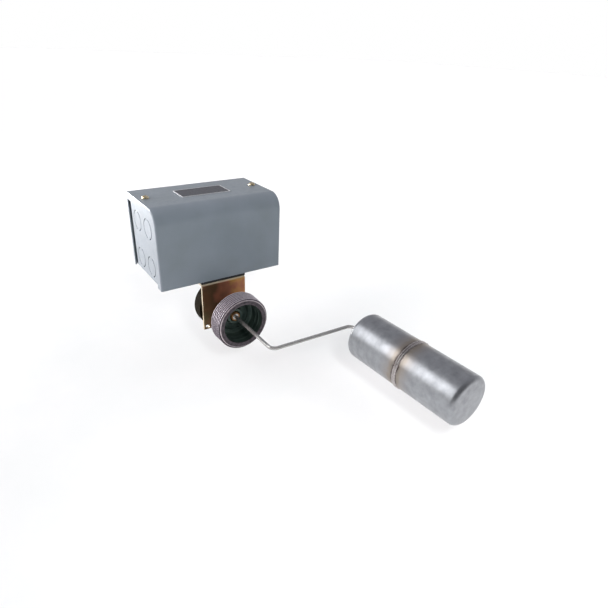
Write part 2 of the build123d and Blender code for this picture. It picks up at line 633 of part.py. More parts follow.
def float_rod():
    """Cranked rod, from the shaft's socket to the float's ferrule."""
    splay = radians(FLOAT_SPLAY)
    leg = ROD_LEG
    tip = (ROD_OFFSET + leg * sin(splay), FIRST_BEND_Y - leg * cos(splay), 0)
    start = (0, SHAFT_FRONT_Y + ROD_SOCKET_DEPTH, 0)
    path = FilletPolyline(start, (0, FIRST_BEND_Y, 0), (ROD_OFFSET, FIRST_BEND_Y, 0), tip,
                          radius=ROD_BEND_R)
    section = Plane(origin=path @ 0, z_dir=path % 0) * Circle(ROD_R)
    return Rot(0, ARM_DROOP, 0) * sweep(section, path)


def float_ferrule():
    """Stepped collar welded to the far cup, with the rod's end in it."""
    y = -ROD_LEG
    collar = rod_along_y(FERRULE_R, y, y + FERRULE_LENGTH / 2)
    collar += rod_along_y(FERRULE_STEP_R, y, y + FERRULE_LENGTH)
    return at_float(collar - rod_along_y(ROD_R + SEAT_GAP, y - 1, y + FERRULE_LENGTH + 1))


def cup_outline(radius, dome, corner, length):
    """Half section of a drawn cup, end at y = 0 and open rim at y = -length."""
    end = ThreePointArc((0, 0), (radius / 2, -dome / 4), (radius, -dome))
    wall = Polyline((radius, -dome), (radius, -length), (0, -length), (0, 0))
    outline = make_face([end, wall])
    edge = outline.vertices().group_by(Axis.X)[-1].sort_by(Axis.Y)[-1]
    return fillet(edge, corner)


def float_cup():
    """Thin drawn cup with a shallow domed end and a rounded corner."""
    length = FLOAT_LENGTH / 2 - SEAT_GAP
    wall = FLOAT_WALL
    outside = revolve(cup_outline(FLOAT_R, FLOAT_DOME, FLOAT_CORNER_R, length), Axis.Y)
    inside = revolve(cup_outline(FLOAT_R - wall, FLOAT_DOME, FLOAT_CORNER_R - wall,
                                 length + 1), Axis.Y)
    return outside - Pos(0, -wall, 0) * inside


def float_rear_cup():
    """Cup on the rod's side."""
    return at_float(Pos(0, -ROD_LEG, 0) * float_cup())


def float_front_cup():
    """Cup that faces the tank."""
    return at_float(Pos(0, -ROD_LEG - FLOAT_LENGTH, 0) * Rot(180, 0, 0) * float_cup())


def float_weld():
    """Weld around the joint of the two cups: two low ridges."""
    inner, quarter = FLOAT_R + SEAT_GAP, WELD_WIDTH / 4
    y0 = -ROD_LEG - FLOAT_LENGTH / 2 - WELD_WIDTH / 2
    points = [(inner, y0), (inner + WELD_RISE, y0 + quarter), (inner + WELD_RISE / 2, y0 + 2 * quarter),
              (inner + WELD_RISE, y0 + 3 * quarter), (inner, y0 + 4 * quarter)]
    crest = Spline(*points)
    return at_float(revolve(make_face([crest, Line(points[-1], points[0])]), Axis.Y))


def lever_outline(length, hub_r, tip_r):
    """Tapered arm between two round ends, upright, in X and Z."""
    return make_hull([Circle(hub_r).edge(), (Pos(0, length) * Circle(tip_r)).edge()])


def plate_in_xz(outline, y0, thickness):
    """Plate from an outline drawn in X and Z, from y0 backwards."""
    plane = Plane(origin=(0, y0 + thickness, 0), x_dir=(1, 0, 0), z_dir=(0, -1, 0))
    return extrude(plane * outline, amount=thickness)


def operating_lever():
    """Arm on the shaft's rear end; at rest it leans towards the float."""
    outline = lever_outline(LEVER_LENGTH, LEVER_HUB_R, LEVER_TIP_R)
    lever = plate_in_xz(outline, LEVER_Y, LEVER_THICKNESS)
    lever += rod_along_y(LEVER_HUB_R, LEVER_HUB_Y, LEVER_HUB_END_Y)
    lever -= rod_along_y(SHAFT_R + SEAT_GAP, LEVER_HUB_Y - 1, LEVER_HUB_END_Y + 1)
    lever -= rod_along_y(DRIVE_PIN_R + SEAT_GAP, LEVER_Y - 1, LEVER_BACK_Y + 1, 0, LEVER_LENGTH)
    lever -= rod_along_z(SET_SCREW_R + SEAT_GAP, -LEVER_HUB_R - 1, 0, 0, set_screw_y())
    return Rot(0, HALF_SWING, 0) * lever


def set_screw_y():
    """Place of the lever's set screw along the shaft, behind the arm."""
    return (LEVER_BACK_Y + LEVER_HUB_END_Y) / 2 - SEAT_GAP


def lever_set_screw():
    """Grub screw in the lever's hub."""
    screw = rod_along_z(SET_SCREW_R, -LEVER_HUB_R - SET_SCREW_PROUD, -SHAFT_R - SEAT_GAP, 0,
                        set_screw_y())
    return Rot(0, HALF_SWING, 0) * screw


def drive_pin():
    """Pin at the lever's tip that moves the rocker's fork."""
    pin = rod_along_y(DRIVE_PIN_R, LEVER_Y, FORK_BACK_Y + DRIVE_PIN_PAST_FORK, 0, LEVER_LENGTH)
    return Rot(0, HALF_SWING, 0) * pin


def cheek(y0):
    """Upright side of the mechanism frame, tapering to a round-cornered top."""
    outline = make_face(Polyline(
        (-CHEEK_FOOT_HALF, FLOOR_Z), (CHEEK_FOOT_HALF, FLOOR_Z),
        (CHEEK_TOP_HALF, CHEEK_TOP_Z), (-CHEEK_TOP_HALF, CHEEK_TOP_Z), close=True))
    top = outline.vertices().group_by(Axis.Y)[-1]
    plate = plate_in_xz(fillet(top, 3.0), y0, FRAME_SHEET)
    plate -= rod_along_y(PIVOT_PIN_R + SEAT_GAP, y0 - 1, y0 + FRAME_SHEET + 1, 0, PIVOT_HEIGHT)
    for side in (-1, 1):
        plate -= rod_along_y(BLOCK_SCREW_R + SEAT_GAP, y0 - 1, y0 + FRAME_SHEET + 1,
                             side * BLOCK_SCREW_SPAN / 2, BLOCK_SCREW_Z)
    return plate


def mechanism_frame():
    """Bent frame on the base: floor, two cheeks and two tabs for the stop screws."""
    front, back = FRAME_FRONT_Y - FRAME_SHEET, FRAME_BACK_Y + FRAME_SHEET
    frame = block((-FRAME_FLANGE_HALF, FRAME_FLANGE_HALF), (front, back),
                  (FLOOR_Z, FRAME_FLOOR_Z))
    frame += cheek(front) + cheek(FRAME_BACK_Y)
    frame -= lever_slot(FLOOR_Z, FRAME_FLOOR_Z)
    tab_y = (LEVER_MIDDLE_Y - STOP_TAB_WIDTH / 2, LEVER_MIDDLE_Y + STOP_TAB_WIDTH / 2)
    for side in (-1, 1):
        tab_x = sorted((side * STOP_TAB_X, side * (STOP_TAB_X + FRAME_SHEET)))
        frame += block(tab_x, tab_y, (FLOOR_Z, STOP_TAB_TOP_Z))
    frame -= rod_along_x(STOP_SCREW_R + SEAT_GAP, -STOP_TAB_X - 5, STOP_TAB_X + 5,
                         LEVER_MIDDLE_Y, STOP_SCREW_Z)
    for x, y in list(bolt_places())[:2]:
        frame -= rod_along_z(BOLT_HOLE_R, FLOOR_Z - 1, FRAME_FLOOR_Z + 1, x, y)
    return frame


def stop_screws():
    """Two adjusting screws that end the lever's swing."""
    tip_x = lever_half_span(STOP_SCREW_Z + STOP_SCREW_R) + SIDE_GAP
    end_x = STOP_TAB_X + FRAME_SHEET + STOP_SCREW_HEAD
    screws = []
    for side in (-1, 1):
        span = sorted((side * tip_x, side * end_x))
        screw = rod_along_x(STOP_SCREW_R, *span, LEVER_MIDDLE_Y, STOP_SCREW_Z)
        head = sorted((side * (STOP_TAB_X + FRAME_SHEET), side * end_x))
        screw += rod_along_x(1.7 * STOP_SCREW_R, *head, LEVER_MIDDLE_Y, STOP_SCREW_Z)
        screws.append(screw)
    return screws


def pivot_pin():
    """Headed pin across the frame, fixed in both cheeks."""
    front = FRAME_FRONT_Y - FRAME_SHEET
    back = FRAME_BACK_Y + FRAME_SHEET
    pin = rod_along_y(PIVOT_PIN_R, front, back + PIVOT_HEAD_THICKNESS, 0, PIVOT_HEIGHT)
    pin += rod_along_y(PIVOT_HEAD_R, front - PIVOT_HEAD_THICKNESS, front, 0, PIVOT_HEIGHT)
    return pin


def tilted(shape):
    """Turns a piece of the level rocker to its rest pose, and lifts it to the pivot."""
    return Pos(0, 0, PIVOT_HEIGHT) * Rot(0, -ROCKER_TILT, 0) * shape


def rocker():
    """Pressed rocker: tube on the pivot pin, fork below it and a shelf above it."""
    fork_x = DRIVE_PIN_R + FORK_SLOT_CLEARANCE
    plate = block((-FORK_HALF, FORK_HALF), (FORK_Y, FORK_BACK_Y), (-FORK_END, ROCKER_HUB_R))
    plate -= block((-fork_x, fork_x), (FORK_Y - 1, FORK_BACK_Y + 1), (-FORK_END - 1, -FORK_NEAR - fork_x))
    plate -= rod_along_y(fork_x, FORK_Y - 1, FORK_BACK_Y + 1, 0, -FORK_NEAR - fork_x)
    tube = rod_along_y(ROCKER_HUB_R, FRAME_FRONT_Y + SIDE_GAP, FRAME_BACK_Y - SIDE_GAP)
    shelf_y = (FRAME_MIDDLE_Y - ROCKER_SHELF_DEPTH / 2, FORK_BACK_Y)
    shelf = block((-ROCKER_SHELF_HALF, ROCKER_SHELF_HALF), shelf_y,
                  (ROCKER_HUB_R - 0.5, ROCKER_HUB_R + ROCKER_SHELF_SHEET))
    shape = plate + tube + shelf
    shape -= rod_along_y(PIVOT_PIN_R + RUNNING_GAP, FRAME_FRONT_Y - 1, FRAME_BACK_Y + 1)
    for side in (-1, 1):
        shape -= rod_along_z(RIVET_R + SEAT_GAP, 0, CARRIER_TOP, side * RIVET_SPAN / 2, FRAME_MIDDLE_Y)
    return tilted(shape)


def contact_carrier():
    """Moulded insulating bar on the rocker's shelf."""
    half_depth = CARRIER_DEPTH / 2
    bottom = ROCKER_HUB_R + ROCKER_SHELF_SHEET
    bar = block((-CARRIER_HALF, CARRIER_HALF), (FRAME_MIDDLE_Y - half_depth, FRAME_MIDDLE_Y + half_depth),
                (bottom, CARRIER_TOP))
    bar = fillet(bar.edges().filter_by(Axis.Z), 2.0)
    for side in (-1, 1):
        bar -= rod_along_z(RIVET_R + SEAT_GAP, bottom - 1, CARRIER_TOP + 1, side * RIVET_SPAN / 2,
                           FRAME_MIDDLE_Y)
    return tilted(bar)


def carrier_rivets():
    """Two rivets through the carrier and the rocker's shelf."""
    bottom = ROCKER_HUB_R - 0.5
    rivets = []
    for side in (-1, 1):
        rivet = rod_along_z(RIVET_R, bottom - RIVET_HEAD, CARRIER_TOP + RIVET_HEAD)
        rivet += rod_along_z(RIVET_HEAD_R, CARRIER_TOP, CARRIER_TOP + RIVET_HEAD)
        rivet += rod_along_z(RIVET_HEAD_R, bottom - RIVET_HEAD, bottom)
        rivets.append(tilted(Pos(side * RIVET_SPAN / 2, FRAME_MIDDLE_Y, 0) * rivet))
    return rivets


def moving_contacts():
    """One springy blade for each pole, with a contact button near each end."""
    blades = []
    for y in POLE_YS:
        blade = block((-BLADE_HALF, BLADE_HALF), (y - BLADE_WIDTH / 2, y + BLADE_WIDTH / 2),
                      (CARRIER_TOP, CARRIER_TOP + BLADE_THICKNESS))
        for side in (-1, 1):
            blade += rod_along_z(BUTTON_R, CARRIER_TOP + BLADE_THICKNESS, BUTTON_TOP,
                                 side * BUTTON_ARM, y)
        blades.append(tilted(blade))
    return blades


def contact_block():
    """Moulded block between the tops of the cheeks, with a barrier between its terminals."""
    y0, y1 = FRAME_FRONT_Y + SEAT_GAP, FRAME_BACK_Y - SEAT_GAP
    shape = block((-BLOCK_HALF, BLOCK_HALF), (y0, y1), (BLOCK_Z, BLOCK_TOP_Z))
    shape = fillet(shape.edges().filter_by(Axis.Z), 1.0)
    for side in (-1, 1):
        barrier_x = sorted((side * BLOCK_HALF, side * (BLOCK_HALF - BARRIER_LENGTH)))
        shape += block(barrier_x, (FRAME_MIDDLE_Y - BARRIER_THICKNESS / 2,
                                   FRAME_MIDDLE_Y + BARRIER_THICKNESS / 2),
                       (BLOCK_TOP_Z - 1, BLOCK_TOP_Z + BARRIER_HEIGHT))
        for y in POLE_YS:
            shape -= rod_along_z(TERMINAL_SCREW_R + SEAT_GAP, BLOCK_TOP_Z - TERMINAL_DEPTH,
                                 BLOCK_TOP_Z + 1, side * TERMINAL_X, y)
        for y in (y0 - 1, y1 - BLOCK_SCREW_DEPTH):
            shape -= rod_along_y(BLOCK_SCREW_R + SEAT_GAP, y, y + BLOCK_SCREW_DEPTH + 1,
                                 side * BLOCK_SCREW_SPAN / 2, BLOCK_SCREW_Z)
    return shape - rod_along_z(SPRING_R + 2 * SPRING_WIRE_R, BLOCK_Z - 1,
                               BLOCK_Z + SPRING_SEAT_DEPTH, 0, FRAME_MIDDLE_Y)


def contact_block_screws():
    """Four screws through the cheeks into the block."""
    screws = []
    reach = BLOCK_SCREW_DEPTH + FRAME_SHEET - 0.5
    for side in (-1, 1):
        for face_y, turn in ((FRAME_FRONT_Y - FRAME_SHEET, 90), (FRAME_BACK_Y + FRAME_SHEET, -90)):
            screw = dome_head(BLOCK_SCREW_HEAD_R, BLOCK_SCREW_HEAD, BLOCK_SCREW_R, reach)
            screws.append(Pos(side * BLOCK_SCREW_SPAN / 2, face_y, BLOCK_SCREW_Z)
                          * Rot(turn, 0, 0) * screw)
    return screws


def fixed_contacts():
    """Four brass strips folded round the block's ends, each with a button on its underside."""
    strips = []
    t = STRIP_THICKNESS
    for side in (-1, 1):
        for y in POLE_YS:
            width = (y - BLADE_WIDTH / 2, y + BLADE_WIDTH / 2)
            end_x = BLOCK_HALF + t
            strip = block(sorted((side * STRIP_INNER_X, side * end_x)), width, (STRIP_Z, BLOCK_Z))
            strip += block(sorted((side * BLOCK_HALF, side * end_x)), width, (STRIP_Z, BLOCK_TOP_Z + t))
            strip += block(sorted((side * STRIP_TOP_X, side * end_x)), width, (BLOCK_TOP_Z, BLOCK_TOP_Z + t))
            strip += rod_along_z(BUTTON_R, FIXED_BUTTON_Z, STRIP_Z, side * CLOSED_X, y)
            strip -= rod_along_z(TERMINAL_SCREW_R + SEAT_GAP, BLOCK_TOP_Z - 1, BLOCK_TOP_Z + 2 * t,
                                 side * TERMINAL_X, y)
            strips.append(strip)
    return strips


def terminal_screws():
    """Binding screws on the four strips."""
    screw = rod_along_z(TERMINAL_SCREW_R, -TERMINAL_DEPTH + 1, 0)
    head = rod_along_z(TERMINAL_HEAD_R, 0, TERMINAL_HEAD)
    head = chamfer(head.edges().group_by(Axis.Z)[-1], 0.5)
    screw = cross_slot(screw + head, 0.8, 1.0, TERMINAL_HEAD, TERMINAL_HEAD_R)
    top = BLOCK_TOP_Z + STRIP_THICKNESS
    return [Pos(side * TERMINAL_X, y, top) * screw for side in (-1, 1) for y in POLE_YS]


def toggle_spring():
    """Compression spring between the block and the carrier: it snaps the rocker over."""
    foot_height = CARRIER_TOP + SPRING_WIRE_R
    foot_x, foot_z = -foot_height * TILT_SIN, PIVOT_HEIGHT + foot_height * TILT_COS
    head_z = BLOCK_Z + SPRING_SEAT_DEPTH - SPRING_WIRE_R
    foot = Vector(foot_x, FRAME_MIDDLE_Y, foot_z)
    axis = Vector(0, FRAME_MIDDLE_Y, head_z) - foot
    margin = SPRING_R * TILT_SIN + SPRING_WIRE_R
    length = axis.length - 2 * margin
    path = Helix(length / SPRING_TURNS, length, SPRING_R)
    section = Plane(origin=path @ 0, z_dir=path % 0) * Circle(SPRING_WIRE_R)
    coil = sweep(section, path, is_frenet=True)
    seat = Plane(origin=foot + axis.normalized() * margin, x_dir=(0, 1, 0), z_dir=axis)
    return seat.location * coil


def ground_screw():
    """Hexagon-headed earthing screw with its washer."""
    z = FLOOR_Z
    screw = rod_along_z(BOLT_R, z - GROUND_BELOW, z)
    screw += rod_along_z(GROUND_WASHER_R, z, z + GROUND_WASHER)
    screw += hex_along_z(GROUND_FLATS, z + GROUND_WASHER, z + GROUND_WASHER + GROUND_HEAD)
    return Pos(GROUND_X, GROUND_Y, 0) * screw


def pieces():
    """Every node of the switch: its name and its solid or solids."""
    return {
        "tank_casting": tank_casting(),
        "gland_bush": bush(GLAND_BUSH_R, GLAND_FACE_Y, GLAND_BACK_Y, GLAND_BUSH_CHAMFER),
        "rear_bush": bush(REAR_BUSH_R, REAR_BUSH_Y, REAR_BUSH_END_Y, RUNNING_GAP),
        "shaft_seal": shaft_seal(),
        "lock_nut": lock_nut(),
        "cover": cover(),
        "base_pan": base_pan(),
        "cover_screws": cover_screws(),
        "nameplate": nameplate(),
        "bracket": bracket(),
        "bracket_gasket": gasket(),
        "bracket_bolts": bracket_bolts(),
        "bracket_nuts": bracket_nuts(),
        "rear_housing": rear_housing(),
        "housing_screws": housing_screws(),
        "operating_shaft": operating_shaft(),
        "operating_lever": operating_lever(),
        "lever_set_screw": lever_set_screw(),
        "drive_pin": drive_pin(),
        "float_rod": float_rod(),
        "float_ferrule": float_ferrule(),
        "float_rear_cup": float_rear_cup(),
        "float_front_cup": float_front_cup(),
        "float_weld": float_weld(),
        "mechanism_frame": mechanism_frame(),
        "stop_screws": stop_screws(),
        "pivot_pin": pivot_pin(),
        "rocker": rocker(),
        "contact_carrier": contact_carrier(),
        "carrier_rivets": carrier_rivets(),
        "moving_contacts": moving_contacts(),
        "contact_block": contact_block(),
        "contact_block_screws": contact_block_screws(),
        "fixed_contacts": fixed_contacts(),
        "terminal_screws": terminal_screws(),
        "toggle_spring": toggle_spring(),
        "ground_screw": ground_screw(),
    }


def main():
    """Writes one STEP file for each node and prints the motion's figures."""
    os.makedirs("parts", exist_ok=True)
    for name, shape in pieces().items():
        if isinstance(shape, list):
            shape = Compound(children=shape)
        export_step(shape, f"parts/{name}.step")
    print("rocker tilt", round(ROCKER_TILT, 4), "ratio", round(-2 * ROCKER_TILT / FLOAT_SWING, 5))
    print("pivot height", round(PIVOT_HEIGHT, 3), "frame middle", round(FRAME_MIDDLE_Y, 3),
          "spring end", round(BLOCK_Z + SPRING_SEAT_DEPTH, 3))


main()
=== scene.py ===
"""Side-mounted tank float switch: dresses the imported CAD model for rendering.

Every length is in metres in the CAD frame: +X towards the float, +Y from the tank back to the
switch box, +Z up, with the origin on the thread's axis. Where a name or a class's docstring says
millimetres, its lengths are in millimetres and turn into metres by MM.
"""
import logging
import math
from collections import Counter
from dataclasses import dataclass, field
from enum import Enum

import bpy
from mathutils import Matrix, Vector


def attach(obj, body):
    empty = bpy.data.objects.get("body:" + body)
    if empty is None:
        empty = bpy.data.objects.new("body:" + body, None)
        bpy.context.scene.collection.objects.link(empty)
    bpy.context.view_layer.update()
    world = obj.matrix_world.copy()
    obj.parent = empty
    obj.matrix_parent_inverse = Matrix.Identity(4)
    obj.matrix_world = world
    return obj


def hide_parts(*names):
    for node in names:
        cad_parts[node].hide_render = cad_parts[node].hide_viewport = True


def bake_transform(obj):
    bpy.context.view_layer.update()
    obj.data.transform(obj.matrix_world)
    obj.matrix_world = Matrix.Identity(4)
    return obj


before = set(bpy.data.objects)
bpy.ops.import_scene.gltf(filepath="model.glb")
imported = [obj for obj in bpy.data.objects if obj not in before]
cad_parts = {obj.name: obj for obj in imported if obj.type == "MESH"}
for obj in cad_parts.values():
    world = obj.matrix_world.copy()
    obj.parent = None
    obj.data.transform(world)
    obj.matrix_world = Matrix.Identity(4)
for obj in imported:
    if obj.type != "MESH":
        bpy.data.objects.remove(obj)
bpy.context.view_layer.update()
LOG = logging.getLogger("float_switch")
MM = 0.001
ACROSS_Y = (1, 0, 1)             # keeps the parts of a vector that lie across the Y axis
NOISE_SPAN = (0.3, 0.7)          # most values of a noise lie between these
MIX_A, MIX_B, MIXED = 6, 7, 2    # the colour sockets of a Mix node

Point = tuple[float, float]
Place = tuple[float, float, float]
Colour = tuple[float, float, float, float]
Stops = tuple[tuple[float, str], ...]
Tree = bpy.types.NodeTree
Source = bpy.types.Node | bpy.types.NodeSocket


class Body(Enum):
    """Moving bodies of the switch, by their names in the CAD record."""

    SWITCH = "switch_body"
    ARM = "float_arm"
    ROCKER = "contact_rocker"


class Grain(Enum):
    """How a surface's pattern is stretched along X, Y and Z."""

    EVEN = (1.0, 1.0, 1.0)
    TURNED = (0.06, 1.0, 0.06)
    ROLLED = (1.0, 0.08, 1.0)


# Materials

def linear(text: str) -> Colour:
    """Turns an sRGB hex colour into a linear one.

    Args:
        text: colour such as "#7c868e".

    Returns:
        Linear red, green, blue and an alpha of 1.
    """
    parts = [int(text[i:i + 2], 16) / 255 for i in (1, 3, 5)]
    values = [p / 12.92 if p <= 0.04045 else ((p + 0.055) / 1.055) ** 2.4 for p in parts]
    return values[0], values[1], values[2], 1.0


def cells(size_mm: float) -> float:
    """Noise scale whose blobs are size_mm across, for coordinates in metres."""
    return 1 / (size_mm * MM)


def add(tree: Tree, kind: str, inputs: dict | tuple = (), stops: Stops = (),
        **settings: object) -> bpy.types.Node:
    """Adds a shader node, sets its properties, and fills or links its inputs.

    Args:
        tree: node tree that gets the node.
        kind: the node's type name after "ShaderNode".
        inputs: what goes into each input, in their order from the first one, or by name or
            number. It is a value, an output socket, or a node, which gives its first output.
        stops: place and hex colour of each stop of a colour ramp.
        settings: the node's own properties.

    Returns:
        The new node.
    """
    node = tree.nodes.new("ShaderNode" + kind)
    for name, value in settings.items():
        setattr(node, name, value)
    for key, value in inputs.items() if isinstance(inputs, dict) else enumerate(inputs):
        source = value.outputs[0] if isinstance(value, bpy.types.Node) else value
        if isinstance(source, bpy.types.NodeSocket):
            tree.links.new(source, node.inputs[key])
        else:
            node.inputs[key].default_value = source
    if stops:
        elements = node.color_ramp.elements
        while len(elements) < len(stops):
            elements.new(1.0)
        for element, (place, text) in zip(elements, stops):
            element.position = place
            element.color = linear(text)
    return node


@dataclass(frozen=True)
class Finish:
    """A material of the switch: two shades, a grain, its gloss and its relief."""

    name: str
    shade: str
    second: str
    roughness: float
    swing: float = 0.08
    metallic: float = 0.0
    patch_mm: float = 9.0
    grain_mm: float = 0.8
    relief_mm: float = 0.03
    grain: Grain = Grain.EVEN
    coat: float = 0.0
    specular: float = 0.5
    # colour of a painted highlight mixed in along corners; empty for none
    painted_light: str = ""
    edge_mm: float = 0.5

    def coordinates(self, tree: Tree) -> Source:
        """Object coordinates of the surface."""
        return add(tree, "TexCoord").outputs["Object"]

    def reach(self, tree: Tree, place: Source) -> Source:
        """Distance of the surface from the Y axis of its coordinates."""
        across = add(tree, "VectorMath", (place, ACROSS_Y), operation="MULTIPLY")
        return add(tree, "VectorMath", (across,), operation="LENGTH").outputs["Value"]

    def mixed(self, tree: Tree, share: Source, first: Source, second: Source | Colour) -> Source:
        """Colour that goes from the first to the second as the share goes from 0 to 1."""
        inputs = {"Factor": share, MIX_A: first, MIX_B: second}
        return add(tree, "Mix", inputs, data_type="RGBA").outputs[MIXED]

    def colour(self, tree: Tree, place: Source) -> Source:
        """Two shades, mixed in soft patches.

        Args:
            tree: node tree.
            place: coordinates.

        Returns:
            The colour.
        """
        patches = add(tree, "TexNoise", {"Vector": place, "Scale": cells(self.patch_mm),
                                         "Detail": 4.0, "Roughness": 0.55})
        low, high = NOISE_SPAN
        return add(tree, "ValToRGB", (patches,), ((low, self.shade), (high, self.second)))

    def marks(self, tree: Tree, place: Source) -> Source:
        """Coordinates of the fine marks: stretched, or wound around the Y axis.

        Args:
            tree: node tree.
            place: coordinates.

        Returns:
            The coordinates of the marks.
        """
        stretched = add(tree, "Mapping", {"Vector": place, "Scale": self.grain.value})
        if self.grain is not Grain.TURNED:
            return stretched
        ring = add(tree, "CombineXYZ", {"X": self.reach(tree, place)})
        return add(tree, "VectorMath", (stretched, ring), operation="ADD")

    def painted_edge_highlight(self, tree: Tree, place: Source, shade: Source) -> Source:
        """Mixes a painted highlight colour into the colour along the surface's corners.

        Args:
            tree: node tree.
            place: coordinates.
            shade: the colour away from corners.

        Returns:
            The colour.
        """
        if not self.painted_light:
            return shade
        # painted highlight: the corners get a lighter colour, as a lit edge would look
        corner = add(tree, "Bevel", {"Radius": self.edge_mm * MM}, samples=4)
        flat = add(tree, "NewGeometry").outputs["Normal"]
        bend = add(tree, "VectorMath", (corner, flat), operation="DOT_PRODUCT").outputs["Value"]
        spots = add(tree, "TexNoise", {"Vector": place, "Scale": cells(2.0), "Detail": 3.0,
                                       "Roughness": 0.55})
        broken = add(tree, "MapRange", (spots, *NOISE_SPAN, 0.25, 1.0))
        turned_away = add(tree, "MapRange", (bend, 0.85, 0.995, 1.0, 0.0))
        corner_highlight = add(tree, "Math", (turned_away, broken), operation="MULTIPLY")
        return self.mixed(tree, corner_highlight, shade, linear(self.painted_light))

    def build(self) -> bpy.types.Material:
        """Makes the material, or returns the one made before.

        Returns:
            The material.
        """
        made = bpy.data.materials.get(self.name)
        if made:
            return made
        material = bpy.data.materials.new(self.name)
        material.use_nodes = True
        tree = material.node_tree
        tree.nodes.clear()
        place = self.coordinates(tree)
        marks = self.marks(tree, place)
        grain = add(tree, "TexNoise", {"Vector": marks, "Scale": cells(self.grain_mm),
                                       "Detail": 2.0, "Roughness": 0.55})
        blotches = add(tree, "TexNoise", {"Vector": marks, "Scale": cells(4 * self.grain_mm),
                                          "Detail": 4.0, "Roughness": 0.6})
        half = self.swing / 2
        gloss = add(tree, "MapRange", (blotches, *NOISE_SPAN, self.roughness - half,
                                       self.roughness + half))
        bump = add(tree, "Bump", {"Height": grain, "Distance": self.relief_mm * MM,
                                  "Strength": 0.6})
        shader = add(tree, "BsdfPrincipled", {
            "Base Color": self.painted_edge_highlight(tree, place, self.colour(tree, place)),
            "Roughness": gloss, "Normal": bump, "Metallic": self.metallic,
            "Coat Weight": self.coat, "Coat Roughness": 0.15,
            "Specular IOR Level": self.specular})
        add(tree, "OutputMaterial", {"Surface": shader})
        return material


@dataclass(frozen=True)
class CutThread(Finish):
    """Cut iron thread: painted highlight on crests and shade in roots, top painted lighter."""

    crest_r_mm: float = 36.5
    taper: float = 1 / 32
    back_y_mm: float = 5.1
    depth_mm: float = 1.9
    patchy: float = 0.16
    # how much lighter the top is painted, and the bottom darker
    painted_top_light: float = 0.26

    def colour(self, tree: Tree, place: Source) -> Source:
        """Painted shade and highlight by height above the thread's tapered root, broken up by a
        fine noise.

        Args:
            tree: node tree.
            place: coordinates.

        Returns:
            The colour.
        """
        parts = add(tree, "SeparateXYZ", (place,)).outputs
        level = add(tree, "Math", (parts["Y"], -self.taper, self.reach(tree, place)),
                    operation="MULTIPLY_ADD")
        crest = (self.crest_r_mm - self.back_y_mm * self.taper) * MM
        # painted light: crests lighter as highlights, roots darker as shade
        height = add(tree, "MapRange", (level, crest - self.depth_mm * MM, crest, 0.0, 1.0))
        spots = add(tree, "TexNoise", {"Vector": place, "Scale": cells(1.6), "Detail": 4.0,
                                       "Roughness": 0.6})
        broken = add(tree, "MapRange", (spots, *NOISE_SPAN, -self.patchy, self.patchy))
        crest_lit = add(tree, "Math", (height, broken), operation="ADD")
        # painted light: lighter towards the top, darker towards the bottom
        top_lit = add(tree, "MapRange", (parts["Z"], -crest, crest, -self.painted_top_light, self.painted_top_light))
        painted_light = add(tree, "Math", (crest_lit, top_lit), operation="ADD")
        return add(tree, "ValToRGB", (painted_light,), ((0.42, "#242125"), (0.64, self.shade),
                                               (0.86, self.second), (1.0, "#bbb4bb")))


@dataclass(frozen=True)
class Chromate(Finish):
    """Yellow chromate on zinc: thin-film colours that drift across the sheet."""

    middle: Place = (0.0, 0.037, 0.006)
    reach_mm: float = 44.2
    slant: float = 0.55
    drift: float = 0.26
    # strongest share of the painted highlight
    highlight_most: float = 0.85

    def colour(self, tree: Tree, place: Source) -> Source:
        """Brown, olive and gold bands, clearer to the right, over soft patches.

        Args:
            tree: node tree.
            place: coordinates.

        Returns:
            The colour.
        """
        centred = add(tree, "VectorMath", (place, self.middle), operation="SUBTRACT")
        parts = add(tree, "SeparateXYZ", (centred,)).outputs
        slope = add(tree, "Math", (parts["Z"], self.slant, parts["X"]),
                    operation="MULTIPLY_ADD")
        patches = add(tree, "TexNoise", {"Vector": place, "Scale": cells(20.0), "Detail": 2.0,
                                         "Roughness": 0.45})
        wander = add(tree, "MapRange", (patches, 0.25, 0.75, -self.drift, self.drift))
        reach = self.reach_mm * MM
        across = add(tree, "MapRange", (slope, -reach, reach, 0.0, 1.0))
        film = add(tree, "Math", (across, wander), operation="ADD")
        return add(tree, "ValToRGB", (film,), (
            (0.0, "#54482c"), (0.22, "#63482f"), (0.4, "#5b4630"), (0.56, "#7d5540"),
            (0.72, "#946048"), (0.86, "#a67a44"), (1.0, "#8a7a44")))

    def painted_edge_highlight(self, tree: Tree, place: Source, shade: Source) -> Source:
        """Paints a highlight on faces that look sideways or up: the sheared edges and the bend.

        Args:
            tree: node tree.
            place: coordinates.
            shade: colour of the flat sheet.

        Returns:
            The colour.
        """
        normal = add(tree, "NewGeometry").outputs["Normal"]
        parts = add(tree, "SeparateXYZ", (normal,)).outputs
        # painted highlight: the more a face looks sideways or up, the lighter its colour
        side = add(tree, "Math", (parts["X"],), operation="ABSOLUTE")
        lit_facing = add(tree, "Math", (side, parts["Z"]), operation="MAXIMUM")
        share = add(tree, "MapRange", (lit_facing, 0.2, 0.6, 0.0, self.highlight_most))
        return self.mixed(tree, share, shade, linear(self.painted_light))


